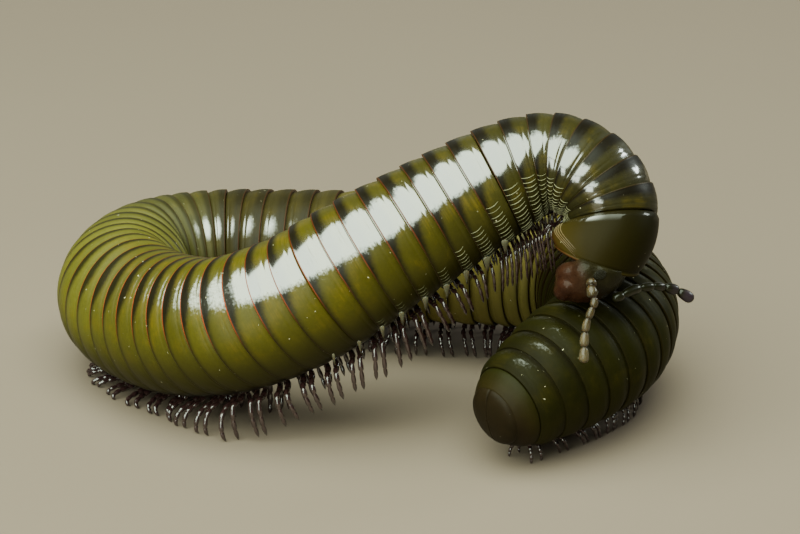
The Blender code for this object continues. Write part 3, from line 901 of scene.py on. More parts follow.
    def _values(self, places: np.ndarray, share: np.ndarray, tint: np.ndarray,
                from_belly: np.ndarray) -> dict[str, np.ndarray]:
        """What the finish reads at each point.

        Args:
            places: distance from the head end.
            share: share of the ring's length.
            tint: the ring's own random tint.
            from_belly: angle from the belly in radians.

        Returns:
            Grids of the same size by attribute name.
        """
        back = -np.cos(from_belly)
        plain = {"rim": self.rims, "low_depth": self.low_depths, "shine": self.shines, "matt": self.matts}
        values = {name: keyed(keys, places) for name, keys in plain.items()}
        # Where the painted dark reflection widens the band
        spread = np.exp(-((back - self.spread_height) / self.spread_reach) ** 2)
        values["ring_share"] = share
        values["back"] = back
        values["body_share"] = places / self.body.length
        values["around"] = from_belly * self.body.radius(places)
        values["along"] = places
        values["ring_tint"] = tint
        values["band_width"] = (keyed(self.band_widths, places) * (0.40 + 0.60 * smoothstep(-0.2, 0.9, back))
                                + keyed(self.band_spreads, places) * spread)
        values["band_depth"] = keyed(self.band_depths, places) * (0.35 + 0.65 * smoothstep(-0.8, 0.0, back))
        # Painted light: the rim's own orange is drawn brightest at mid height on the flank, where the light
        # falls, and duller toward the belly and near the top of the back
        values["rim_glow"] = (keyed(self.rim_glows, places) * smoothstep(-0.05, 0.50, back)
                              * (1.0 - 0.45 * smoothstep(0.70, 0.98, back)))
        values["golden"] = keyed(self.goldens, places) * smoothstep(-0.5, 0.0, back)
        values["gloss"] = self._gloss(places, share, back)
        values["scratch"] = 1.0 - 0.65 * smoothstep(0.45, 0.75, share)
        # Painted shade under the lip of the ring ahead, stronger toward the back
        values["shade"] = (keyed(self.painted_overhang_shades, places) * (1.0 - smoothstep(0.0, 0.42, share))
                           * (0.25 + 0.75 * smoothstep(0.0, 0.8, back)))
        values["fuzz"] = 1.0 - (1.0 - self.back_run_fuzz) * window(places, *self.back_run)
        return values

    def _gloss(self, places: np.ndarray, share: np.ndarray, back: np.ndarray) -> np.ndarray:
        """How polished the shell is: most on the upper flank, and in spots on the back run's rings.

        Args:
            places: distance from the head end.
            share: share of the ring's length.
            back: 1 on the middle of the back, -1 on the belly.

        Returns:
            A grid of the same size.
        """
        low, high = keyed(self.gloss_low, places), keyed(self.gloss_high, places)
        high = high - 0.07 * smoothstep(0.55, 0.95, share)
        gloss = keyed(self.glosses, places) * window(back, low - 0.13, low + 0.12, high - 0.08, high + 0.12)
        spot = np.exp(-((share - 0.36) / 0.34) ** 2)
        gloss = gloss * (1.0 - window(places, *self.back_run) * (1.0 - spot))
        streak = np.exp(-((share - 0.30) / 0.34) ** 2)
        gloss = gloss * (1.0 - smoothstep(*self.tail, places) * (1.0 - streak))
        gloss = gloss * (1.0 - 0.75 * window(places, *self.left_turn) * smoothstep(0.45, 0.72, share))
        crown = smoothstep(0.86, 0.95, back) * window(places, *self.crown)
        return np.maximum(gloss, 0.75 * crown * window(share, 0.0, 0.15, 0.45, 0.75))

    def _form(self, number: int) -> tuple[float, float]:
        """Height of a ring's rear edge over its front, and of its bulge, as shares of the radius."""
        front, rear = self.body.margins[number], self.body.margins[number + 1]
        step = (1.0 - self.front) * float(keyed(self.relief, rear))
        return step, self.bulge * float(keyed(self.bulges, 0.5 * (front + rear)))

    def scale_at(self, number: int, share: float) -> float:
        """Share of the radius at a share of a ring's length."""
        step, swell = self._form(number)
        rise = step * float(keyed(self.profile, share))
        return 1.0 - step + rise + swell * (math.sin(math.pi * share) - self.sink)

    def _rows(self, first: int, last: int, tints: np.ndarray) -> list[tuple[float, ...]]:
        """Rows of points from the front to the rear.

        Args:
            first: number of the first ring.
            last: number after the last ring.
            tints: tint of every ring.

        Returns:
            Place, ring share, radius share and tint of each row.
        """
        margins = self.body.margins
        start = margins[first] + 0.02
        rows = [(start, 0.0, 0.0, tints[first]), (start, 0.0, 0.7, tints[first])]
        for number in range(first, last):
            front, rear = margins[number], margins[number + 1]
            step, swell = self._form(number)
            base = 1.0 - self.sink * swell
            for share, _ in self.profile:
                rows.append((front + share * (rear - front), share * 0.99, self.scale_at(number, share),
                             tints[number]))
            lip = self.lip_undercut
            follows = 0.0 if number + 1 < last else 1.0
            rows.append((rear + 0.3 * lip, 1.0, base - 0.50 * step, tints[number]))
            rows.append((rear - lip, 1.0, base - 0.95 * step, tints[number]))
            rows.append((rear - lip + 0.004, follows, base - 1.05 * step, tints[number]))
        end = margins[last] - self.lip_undercut
        rows.append((end, 1.0, 0.7, tints[last - 1]))
        rows.append((end, 1.0, 0.0, tints[last - 1]))
        return rows


@dataclass
class FlankRidges:
    """Smile-shaped ridges in rows along the lower flank of the front rings; their pale colour is partly their
    own and partly a painted highlight where they catch the light.
    """

    shells: RingShells
    material: bpy.types.Material
    rings: int = 15
    spacing: float = 0.50
    # Lowest and highest ridge of a ring, in degrees from the belly, and the share of the ring they start at
    lowest: Keys = ((3.0, 32.0), (12.0, 44.0), (20.0, 46.0), (36.0, 50.0))
    highest: Keys = ((3.0, 66.0), (5.6, 78.0), (7.2, 90.0), (8.3, 98.0), (9.5, 105.0), (12.0, 112.0),
                     (14.0, 110.0), (17.0, 100.0), (20.0, 86.0), (25.0, 72.0), (32.0, 60.0))
    fronts: Keys = ((3.0, 0.10), (13.0, 0.12), (16.0, 0.36), (20.0, 0.50), (26.0, 0.62), (36.0, 0.66))
    rear_share: float = 0.96
    sag: float = 0.17
    width: float = 0.042
    # Thickness by place, which also sets how pale a ridge is drawn, partly a painted highlight
    fade: Keys = ((3.0, 1.0), (14.0, 1.0), (20.0, 0.75), (28.0, 0.5), (34.0, 0.3))
    steps: int = 9
    sides: int = 6
    seed: int = 5

    def build(self) -> None:
        """All the ridges as one object."""
        rng = np.random.default_rng(self.seed)
        mesher = Mesher("flank_ridges", ("tone",))
        body = self.shells.body
        for number in range(self.rings):
            middle = 0.5 * (body.margins[number] + body.margins[number + 1])
            radius = float(body.radius(middle))
            turn = math.radians(float(keyed(self.lowest, middle)))
            top = math.radians(float(keyed(self.highest, middle)))
            while turn < top:
                for hand in Hand:
                    self._ridge(mesher, number, hand.value * (turn + rng.normal(0.0, 0.006)), radius,
                                float(keyed(self.fade, middle)) * rng.uniform(0.8, 1.1))
                turn += self.spacing * rng.uniform(0.92, 1.08) / radius
        mesher.finish(self.material)

    def _ridge(self, mesher: Mesher, number: int, turn: float, radius: float, size: float) -> None:
        """One ridge, half sunk in its ring.

        Args:
            mesher: the mesh that it is added to.
            number: its ring.
            turn: angle of its ends from the belly in radians.
            radius: half thickness of the body there.
            size: thickness as a share of the full one, which also sets how pale it is drawn, partly a painted
                highlight.
        """
        body = self.shells.body
        front, rear = body.margins[number], body.margins[number + 1]
        t = np.linspace(0.0, 1.0, self.steps)
        begin = float(keyed(self.fronts, front))
        share = begin + (self.rear_share - begin) * t
        dip = self.sag * (1.0 - (2.0 * t - 1.0) ** 2) / radius
        turns = math.copysign(1.0, turn) * (abs(turn) - dip)
        scale = np.array([self.shells.scale_at(number, one) for one in share])
        points = body.surface(front + share * (rear - front), turns, scale, lift=0.004)
        radii = self.width * size * np.sqrt(np.clip(np.sin(math.pi * np.clip(t, 0.06, 0.95)), 0.05, 1.0))
        mesher.rod(rod_rows(points, radii, self.sides), size)


@dataclass
class Legs:
    """Two pairs of legs a ring, one pair on the first rings, hanging free or standing in waves."""

    body: Body
    material: bpy.types.Material
    single_rings: int = 1
    # A leg whose root is nearer to the ground than this stands on it; others hang as long as drops says
    standing_drop: float = 3.5
    drops: Keys = ((3.0, 5.0), (10.0, 4.6), (14.0, 3.5), (20.0, 3.0), (30.0, 3.1), (44.0, 3.2))
    girths: Keys = ((3.0, 0.46), (14.0, 0.50), (20.0, 0.72), (27.0, 1.0), (44.0, 1.05), (120.0, 0.9),
                    (146.0, 0.7))
    neck_end: float = 19.0
    neck_shares: tuple[float, ...] = (0.12, 0.37, 0.62, 0.87)
    shares: tuple[float, ...] = (0.34, 0.68)
    spread: float = 0.56
    tail_spread: float = 0.26
    tail_tuck: float = 20.0
    wave: float = 0.9
    wave_pitch: float = 7.0
    lag: float = 0.6
    spacing: float = 0.30
    # Share of the plumb line in the direction of free legs, by place
    plumb: Keys = ((3.0, 0.55), (12.0, 0.50), (20.0, 0.45), (40.0, 0.55))
    # Along a leg: share of its length and radius; each segment swells to its far end
    joints: Keys = ((0.0, 0.22), (0.06, 0.29), (0.12, 0.31), (0.145, 0.20), (0.175, 0.25), (0.24, 0.30),
                    (0.30, 0.29), (0.32, 0.18), (0.345, 0.23), (0.42, 0.28), (0.48, 0.27), (0.50, 0.165),
                    (0.525, 0.215), (0.60, 0.26), (0.65, 0.25), (0.67, 0.15), (0.695, 0.19), (0.76, 0.23),
                    (0.81, 0.215), (0.83, 0.14), (0.85, 0.19), (0.90, 0.20), (0.935, 0.16), (0.965, 0.10),
                    (1.0, 0.02))
    ground: float = 0.02
    sides: int = 8
    seed: int = 23

    def build(self, name: str, first: int, last: int) -> None:
        """The legs of one length of rings.

        Args:
            name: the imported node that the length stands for.
            first: number of its first ring.
            last: number after its last ring.
        """
        rng = np.random.default_rng(self.seed + first)
        mesher = Mesher(f"legs_{name}", ("tone",))
        for hand in Hand:
            previous = None
            for number in range(first, last):
                front = self.body.margins[number]
                pair = self.neck_shares if front < self.neck_end else self.shares
                girth = float(keyed(self.girths, front))
                for share in ((0.5,) if number < self.single_rings else pair):
                    points = self._line(number, share, hand, rng)
                    if previous is not None:
                        near = np.linalg.norm(points[2:] - previous[2:], axis=1).min()
                        if near < self.spacing * girth:
                            continue
                    previous = points
                    self._leg(mesher, points, girth)
        mesher.finish(self.material)

    def _line(self, number: int, share: float, hand: Hand, rng: np.random.Generator) -> np.ndarray:
        """Points of one leg from inside the belly to its claw.

        Args:
            number: its ring.
            share: its place as a share of the ring's length.
            hand: its side of the body.
            rng: source of its small differences.

        Returns:
            One row per point.
        """
        front, rear = self.body.margins[number], self.body.margins[number + 1]
        place = front + share * (rear - front)
        f = self.body.frames([place])
        centre, along, belly, side = f.centre[0], f.along[0], f.belly[0], f.side[0]
        radius = float(self.body.radius(place))
        height = centre[2] / max(0.2, -belly[2]) - radius
        from_tail = self.body.length - place
        share_out = min(1.0, max(0.0, (from_tail - self.tail_tuck / 2) / self.tail_tuck))
        spread = self.tail_spread + (self.spread - self.tail_spread) * share_out
        phase = 2 * math.pi * (number + share) / self.wave_pitch + (self.lag if hand is Hand.LEFT else 0.0)
        sway = self.wave * math.sin(phase) + rng.normal(0.0, 0.16)
        reach = 1.0 + 0.10 * math.cos(phase) + rng.normal(0.0, 0.04)

        def at(depth: float, out: float, ahead: float) -> np.ndarray:
            """A point from the middle line toward the belly, outward and toward the tail."""
            return centre + belly * depth + side * (hand.value * out * radius) + along * ahead

        points = [at(0.80 * radius, 0.12, 0.0), at(0.95 * radius, 0.20, 0.0)]
        if height < self.standing_drop:
            points.append(at(radius + 0.02, min(0.38, 0.7 * spread), 0.1 * sway))
            for depth, out, ahead in ((0.06, 0.80, 0.3), (0.36, 1.00, 0.6), (0.76, 1.03, 0.9)):
                points.append(at(radius + depth * height, out * spread * reach, ahead * sway))
            tip = at(radius + height, 0.97 * spread * reach, sway)
            tip[2] = self.ground
        else:
            plumb = float(keyed(self.plumb, place))
            down = unit(belly * (1.0 - plumb) + np.array((0.0, 0.0, -1.0)) * plumb)
            drop = float(keyed(self.drops, place)) * reach
            knee = at(radius - 0.05, 0.50, 0.15 * sway)
            points += [at(radius - 0.02, 0.36, 0.05 * sway), knee]
            outward = side * hand.value
            for depth, out, ahead in ((0.34, 0.30, 0.2), (0.70, 0.22, 0.45)):
                points.append(knee + down * depth * drop + outward * out + along * ahead * sway)
            tip = knee + down * drop - outward * 0.10 + along * 0.6 * sway
        return np.array(points + [tip])

    def _leg(self, mesher: Mesher, points: np.ndarray, girth: float) -> None:
        """One jointed leg.

        Args:
            mesher: the mesh that it is added to.
            points: its middle line, roughly.
            girth: thickness as a share of the full one.
        """
        line = smooth_line(points, 0.12, 0.0)
        places = line_places(line)
        shares = np.array([k[0] for k in self.joints])
        middle = np.stack([np.interp(shares * places[-1], places, line[:, k]) for k in range(3)], 1)
        middle[:, 2] = np.maximum(middle[:, 2], self.ground)
        full = np.array([k[1] for k in self.joints])
        radii = np.minimum(full * girth, np.maximum(middle[:, 2], 0.03))
        narrow = (full - 0.10) / 0.2
        tone = np.concatenate([[0.0], 0.75 * shares + 0.25 * np.clip(narrow, 0.0, 1.0), [1.0]])
        mesher.rod(rod_rows(middle, radii, self.sides), tone)


@dataclass
class BellyFlaps:
    """A pale, thin wedge hanging beside the legs of each ring, broad end up."""

    body: Body
    material: bpy.types.Material
    first_place: float = 16.0
    last_place: float = 37.0
    length: float = 1.55
    turn: float = 50.0
    widths: Keys = ((0.0, 0.14), (0.05, 0.32), (0.18, 0.38), (0.45, 0.26), (0.75, 0.16), (1.0, 0.10))
    sizes: Keys = ((14.0, 1.0), (28.0, 0.9), (34.0, 0.5), (37.0, 0.4))
    thickness: float = 0.35
    inward: float = 0.25
    sides: int = 10
    seed: int = 3

    def build(self) -> None:
        """All the flaps as one object."""
        rng = np.random.default_rng(self.seed)
        mesher = Mesher("belly_flaps", ("tone",))
        shares = np.array([k[0] for k in self.widths])
        wide = np.array([k[1] for k in self.widths])
        tone = np.concatenate([[1.0], 1.0 - shares, [0.0]])
        for front, rear in zip(self.body.margins, self.body.margins[1:]):
            place = front + rng.uniform(0.80, 0.92) * (rear - front)
            if not self.first_place < place < self.last_place:
                continue
            f = self.body.frames([place])
            down = unit(f.belly[0] * 0.25 + np.array((0.0, 0.0, -0.75)))
            for hand in Hand:
                turn = np.array([hand.value * math.radians(self.turn + rng.normal(0.0, 1.5))])
                root = self.body.surface(np.array([place]), turn, np.ones(1), lift=0.05)[0]
                size = float(keyed(self.sizes, place)) * rng.uniform(0.85, 1.1)
                reach = self.length * (0.7 + 0.3 * size)
                inward = f.side[0] * hand.value * self.inward * shares[:, None]
                points = root + down * (shares * reach)[:, None] - inward
                mesher.rod(rod_rows(points, wide * size, self.sides, self.thickness, f.side[0]), tone)
        mesher.finish(self.material)


@dataclass
class Collum:
    """The large first shield, with curved folds at its lower corners and a thin front margin."""

    body: Body
    material: bpy.types.Material
    fold_material: bpy.types.Material
    front: Point = (17.9, -14.1, 18.3)
    front_radius: float = 4.1
    nod: float = 34.0
    swell: float = 2.2
    loops: int = 56
    sides: int = 144
    bulge: float = 0.26
    # Height of the lip along the front margin, depth of the groove behind it, and their places and widths
    lip: float = 0.09
    lip_place: float = 0.975
    lip_width: float = 0.018
    groove: float = 0.05
    groove_place: float = 0.935
    groove_width: float = 0.02
    folds: int = 4
    fold_points: int = 22
    fold_sides: int = 8
    belly_flat: float = 0.13
    belly_width: float = 0.7

    def point(self, share: np.ndarray, turn: np.ndarray, lift: np.ndarray | float = 0.0) -> np.ndarray:
        """Points on the shield.

        Args:
            share: 0 at the rear margin, 1 at the front margin.
            turn: angle from the belly in radians.
            lift: height over the surface.

        Returns:
            Points with one more axis than share.
        """
        f = self.body.frames([self.body.collum_end])
        centre, along, belly, side = f.centre[0], f.along[0], f.belly[0], f.side[0]
        radius = float(self.body.radius(self.body.collum_end))
        nod = math.radians(self.nod) * share[..., None]
        down = belly * np.cos(nod) + along * np.sin(nod)
        start = centre - along * self.body.seam / 2
        middle = start + (np.array(self.front) - centre) * share[..., None]
        size = radius + (self.front_radius - radius) * np.clip(share, 0.0, 1.0) ** self.swell
        size = size + self.bulge * np.sin(math.pi * share) + lift
        from_belly = np.abs(np.remainder(turn + math.pi, 2 * math.pi) - math.pi)
        size = size * (1.0 - self.belly_flat * np.exp(-(from_belly / self.belly_width) ** 2))
        return middle + size[..., None] * (down * np.cos(turn)[..., None] + side * np.sin(turn)[..., None])

    def front_plane(self) -> tuple[Vector, Vector]:
        """A point and the rearward normal of the front margin's plane."""
        f = self.body.frames([self.body.collum_end])
        nod = math.radians(self.nod)
        axis = f.along[0] * math.cos(nod) - f.belly[0] * math.sin(nod)
        return Vector(self.front), Vector(axis)

    def build(self) -> None:
        """The shield and its folds."""
        share = np.linspace(0.0, 1.0, self.loops)
        lift = -0.22 * (1.0 - smoothstep(-0.04, 0.08, share)) - 0.08
        lift += self.lip * np.exp(-((share - self.lip_place) / self.lip_width) ** 2)
        lift -= self.groove * np.exp(-((share - self.groove_place) / self.groove_width) ** 2)
        # The first and last rows shrink to a point and close the shell
        share = np.concatenate([[-0.02, -0.02], share, [1.0, 1.0, 1.0]])
        lift = np.concatenate([[-9.0, -0.50], lift, [-0.20, -0.45, -9.0]])
        turns = 2 * math.pi * (np.arange(self.sides) + 0.5) / self.sides
        grid = np.repeat(share[:, None], self.sides, 1)
        turn = np.repeat(turns[None, :], len(share), 0)
        base = self.point(grid, turn, lift[:, None] * np.ones_like(grid))
        for row in (0, -1):
            base[row] = base[row].mean(0)
        back = -np.cos(turn)
        mesher = Mesher("collum_shield", ("tone", "gloss"))
        tone = 0.46 + 0.5 * back - 0.18 * grid - 0.45 * smoothstep(0.94, 0.97, grid)
        gloss = (1.0 - smoothstep(0.07, 0.17, grid)) * (0.8 * (1.0 - smoothstep(0.30, 0.62, back)) + 0.12)
        mesher.sleeve(base, {"tone": tone, "gloss": gloss})
        mesher.finish(self.material, ("collum",))
        self._build_folds()

    def _build_folds(self) -> None:
        """Curved folds from each lower rear corner along the front margin."""
        mesher = Mesher("collum_folds", ("tone",))
        t = np.linspace(0.0, 1.0, self.fold_points)
        tone = np.concatenate([[0.0], t, [1.0]])
        for hand in Hand:
            for number in range(self.folds):
                share = 0.07 + (0.87 - 0.025 * number) * t
                turn = np.radians(50.0 + 6.0 * number * (1.0 - 0.6 * t) + 52.0 * t ** 1.6)
                points = self.point(share, hand.value * turn, -0.10)
                radii = (0.075 - 0.005 * number) * np.clip(1.25 - t, 0.15, 1.0)
                mesher.rod(rod_rows(points, radii, self.fold_sides), tone)
        mesher.finish(self.fold_material)


@dataclass
class HeadShape:
    """The head capsule with jaws and lip blended into it, in the head's own frame: right, up, forward."""

    material: bpy.types.Material
    centre: Point = (17.35, -16.1, 17.15)
    up: Point = (0.95, 0.12, 0.29)
    right: Point = (0.0, -0.93, 0.36)
    half: Point = (3.25, 3.35, 2.15)
    # Half sizes and places of the right side's lobes: cheek, jaw, lower jaw and lip
    lobes: tuple[tuple[Point, Point], ...] = (((1.45, 1.35, 1.25), (1.95, -0.55, -0.70)),
                                               ((1.35, 1.15, 1.05), (1.30, -1.75, -0.95)),
                                               ((1.25, 0.95, 0.90), (1.35, -2.35, 0.10)),
                                               ((1.10, 0.75, 0.75), (0.75, -2.80, 0.50)))
    blend: float = 5.5
    # Depth of the notch between the jaws, of the furrow over the mouth, and of the overlap with the collum
    notch: float = 0.30
    brow: float = 0.06
    cover: float = 0.25
    sides: int = 160
    rows: int = 120

    def matrix(self) -> Matrix:
        """Places head sizes in metres: right, up and forward as its columns."""
        up = Vector(self.up).normalized()
        right = Vector(self.right)
        right = (right - up * right.dot(up)).normalized()
        turn = Matrix((right, up, up.cross(right))).transposed().to_4x4()
        return Matrix.Translation(Vector(self.centre) * MM) @ turn

    def _reach(self, spot: np.ndarray, half: np.ndarray, place: np.ndarray) -> float:
        """Distance along a direction to the far side of an egg, or 0 where it passes beside it.

        Args:
            spot: the direction.
            half: the egg's half sizes.
            place: the egg's middle.

        Returns:
            The distance from the middle of the head.
        """
        a = float(((spot / half) ** 2).sum())
        b = float((spot * place / half ** 2).sum())
        c = float(((place / half) ** 2).sum()) - 1.0
        root = b * b - a * c
        return (b + math.sqrt(root)) / a if root > 0.0 else 0.0

    def _blended(self, spot: Vector) -> Vector:
        """Pushes a point of the unit sphere out to the soft outline of all the lobes.

        Args:
            spot: the point.

        Returns:
            Its place in the head's own frame.
        """
        way = np.array(spot.normalized())
        reaches = [self._reach(way, np.array(self.half), np.zeros(3))]
        for half, place in self.lobes:
            for hand in Hand:
                reaches.append(self._reach(way, np.array(half), np.array(place) * (hand.value, 1.0, 1.0)))
        top = max(reaches)
        reach = top + math.log(sum(math.exp(self.blend * (one - top)) for one in reaches)) / self.blend
        notch = self.notch * math.exp(-(way[0] / 0.055) ** 2) * float(smoothstep(0.75, 0.95, -way[1]))
        brow = self.brow * math.exp(-((way[1] + 0.30) / 0.05) ** 2) * float(smoothstep(0.2, 0.7, way[2]))
        return Vector(way) * (reach - notch - brow)

    def build(self, collum: Collum) -> None:
        """The head, cut where the collum covers it.

        Args:
            collum: the shield over its rear.
        """
        mesher = Mesher("head_capsule", ("tone",))
        mesher.ball(Matrix.Identity(4), self.sides, self.rows, shape=self._blended)
        for vert in mesher.bm.verts:
            jaw = float(smoothstep(0.2, 1.6, -vert.co.y)) * float(smoothstep(0.6, -0.6, vert.co.z))
            vert[mesher.layers["tone"]] = 0.52 + 0.15 * vert.co.y - 0.04 * vert.co.z - 0.10 * jaw
        bmesh.ops.transform(mesher.bm, matrix=self.matrix() @ Matrix.Scale(MM, 4), verts=mesher.bm.verts)
        point, normal = collum.front_plane()
        geometry = mesher.bm.verts[:] + mesher.bm.edges[:] + mesher.bm.faces[:]
        cut = bmesh.ops.bisect_plane(mesher.bm, geom=geometry, plane_co=(point + normal * self.cover) * MM,
                                     plane_no=normal, clear_outer=True)
        rim = [e for e in cut["geom_cut"] if isinstance(e, bmesh.types.BMEdge)]
        bmesh.ops.holes_fill(mesher.bm, edges=rim, sides=0)
        mesher.finish(self.material, ("head",))


@dataclass
class Eyes:
    """Oval fields of small lenses in rows on the sides of the head."""

    head: HeadShape
    material: bpy.types.Material
    half: Point = (0.62, 0.45, 0.16)
    place: Point = (0.95, 0.19, -0.02)
    lens: float = 0.068
    rows: int = 6
    # Distances between lenses along a row and between rows, in lens radii
    column_pitch: float = 2.05
    row_pitch: float = 1.78

    def build(self) -> None:
        """Both eyes, each one dome with its lenses."""
        for hand, name in ((Hand.RIGHT, "eye_right"), (Hand.LEFT, "eye_left")):
            spot = Vector((hand.value * self.place[0], self.place[1], self.place[2])).normalized()
            skin = Vector(self.head.half[k] * spot[k] for k in range(3))
            out = Vector(spot[k] / self.head.half[k] for k in range(3)).normalized()
            turn = out.to_track_quat("Z", "Y").to_matrix().to_4x4()
            base = self.head.matrix() @ Matrix.Translation((skin - out * 0.02) * MM) @ turn
            mesher = Mesher(f"{name}_lenses", ("tone",))
            mesher.ball(base @ Matrix.Diagonal((*(h * MM for h in self.half), 1.0)), 40, 20, {"tone": 0.2})
            for row in range(-self.rows, self.rows + 1):
                for column in range(-self.rows, self.rows + 1):
                    x = (column + 0.5 * (row % 2)) * self.column_pitch * self.lens
                    y = row * self.row_pitch * self.lens
                    inside = 1.0 - (x / self.half[0]) ** 2 - (y / self.half[1]) ** 2
                    if inside < 0.12:
                        continue
                    lift = Vector((x, y, self.half[2] * math.sqrt(inside))) * MM
                    mesher.ball(base @ Matrix.Translation(lift) @ Matrix.Scale(self.lens * MM, 4), 10, 6,
                                {"tone": 0.8})
            mesher.finish(self.material, (name,))


@dataclass
class Feeler:
    """A feeler of bulging beads on narrow joints, with a small cone at its tip."""

    name: str
    points: tuple[Point, ...]
    material: bpy.types.Material
    slot: Slot
    # Length and radius of each bead, from the head outward
    beads: tuple[tuple[float, float], ...]
    neck: float = 0.19
    tip: float = 0.12
    sides: int = 24
    swell: Keys = ((0.0, 0.0), (0.05, 0.30), (0.14, 0.60), (0.28, 0.82), (0.46, 0.95), (0.64, 1.0),
                   (0.78, 0.94), (0.88, 0.76), (0.95, 0.42))

    def build(self) -> None:
        """The feeler as one object."""
        line = smooth_line(self.points, 0.05, 0.0)
        places = line_places(line)
        ends = np.concatenate([[0.0], np.cumsum([bead[0] for bead in self.beads])])
        ends = ends / ends[-1] * places[-1]
        spots, radii, tone = [], [], []
        for number, (low, high, (_, full)) in enumerate(zip(ends, ends[1:], self.beads)):
            for share, swell in self.swell:
                spots.append(low + share * (high - low))
                radii.append(self.neck + (full - self.neck) * swell)
                tone.append(0.5 * swell + 0.5 * (number + share) / len(self.beads))
        spots.append(places[-1])
        radii.append(self.tip)
        tone.append(1.0)
        middle = np.stack([np.interp(spots, places, line[:, k]) for k in range(3)], 1)
        mesher = Mesher(f"{self.name}_beads", ("tone",))
        mesher.rod(rod_rows(middle, np.array(radii), self.sides), np.array([tone[0]] + tone + [1.0]))
        mesher.finish(self.material, (self.name,))


@dataclass
class TailEnd:
    """The last ring, narrowing to the two half domes that close the tail."""

    body: Body
    material: bpy.types.Material
    valve_length: float = 1.05
    valve_girth: float = 0.945
    sides: int = 96
    seam: float = 0.06

    def build(self) -> None:
        """The telson and both valves."""
        start = self.body.margins[-1]
        end = self.body.length - self.valve_length
        shares = np.linspace(0.02, 1.0, 20)
        places = start + (end - start) * shares
        scale = 0.950 + 0.040 * smoothstep(0.0, 0.45, shares) - 0.012 * smoothstep(0.8, 1.0, shares)
        places = np.concatenate([[places[0]], places, [end + 0.10, end + 0.12, end - 0.3, end - 0.3]])
        scale = np.concatenate([[0.0], scale, [0.975, 0.94, 0.90, 0.0]])
        turns = 2 * math.pi * (np.arange(self.sides) + 0.5) / self.sides
        grid = np.repeat(places[:, None], self.sides, 1)
        turn = np.repeat(turns[None, :], len(places), 0)
        points = self.body.surface(grid, turn, scale[:, None] * np.ones_like(grid))
        mesher = Mesher("telson_ring", ("tone",))
        mesher.sleeve(points, {"tone": 0.78 - 0.22 * np.cos(turn) - 0.45 * (grid - start) / (end - start)})
        mesher.finish(self.material, ("telson",))
        for hand, name in ((Hand.RIGHT, "valve_right"), (Hand.LEFT, "valve_left")):
            self._valve(hand, name, end)

    def _valve(self, hand: Hand, name: str, start: float) -> None:
        """One half dome with a raised rim along its straight edge.

        Args:
            hand: its side of the body.
            name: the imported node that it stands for.
            start: distance of its base from the head end.
        """
        f = self.body.frames([start])
        radius = float(self.body.radius(start)) * self.valve_girth
        mesher = Mesher(f"{name}_dome", ("tone",))

        def dome(spot: Vector) -> Vector:
            """Raises the rim where the two domes meet."""
            rim = math.exp(-((spot.x - 0.04) / 0.05) ** 2)
            spot.z *= 1.0 + 0.02 * rim
            return spot

        axes = Matrix((f.side[0] * hand.value, f.belly[0], f.along[0])).transposed().to_4x4()
        size = Matrix.Diagonal((radius * MM, radius * MM, self.valve_length * MM, 1.0))
        middle = Matrix.Translation(Vector(f.centre[0] + f.along[0] * 0.05) * MM)
        mesher.ball(Matrix.Identity(4), 64, 40, {"tone": 0.28}, shape=dome)
        for point, normal in (((0, 0, 0), (0, 0, -1)), ((0.5 * self.seam / radius, 0, 0), (-1, 0, 0))):
            geometry = mesher.bm.verts[:] + mesher.bm.edges[:] + mesher.bm.faces[:]
            bmesh.ops.bisect_plane(mesher.bm, geom=geometry, plane_co=point, plane_no=normal,
                                   clear_outer=True)
            bmesh.ops.holes_fill(mesher.bm, edges=[e for e in mesher.bm.edges if e.is_boundary], sides=0)
        bmesh.ops.transform(mesher.bm, matrix=middle @ axes @ size, verts=mesher.bm.verts)
        mesher.finish(self.material, (name,))


@dataclass(frozen=True)
class Lamp:
    """A soft rectangular light: place, aim and size in metres."""

    name: str
    place: Point
    size: tuple[float, float]
    power: float
    colour: Point
    aim: Point = (0.0, 0.0, 0.012)

    def build(self) -> None:
        """Hangs the light and turns it to its aim."""
        data = bpy.data.lights.new(self.name, "AREA")
        data.shape = "RECTANGLE"
        data.size, data.size_y = self.size
        data.energy = self.power
        data.color = self.colour
        light = bpy.data.objects.new(self.name, data)
        light.location = self.place
        light.rotation_euler = (Vector(self.aim) - Vector(self.place)).to_track_quat("-Z", "Y").to_euler()
        bpy.context.scene.collection.objects.link(light)


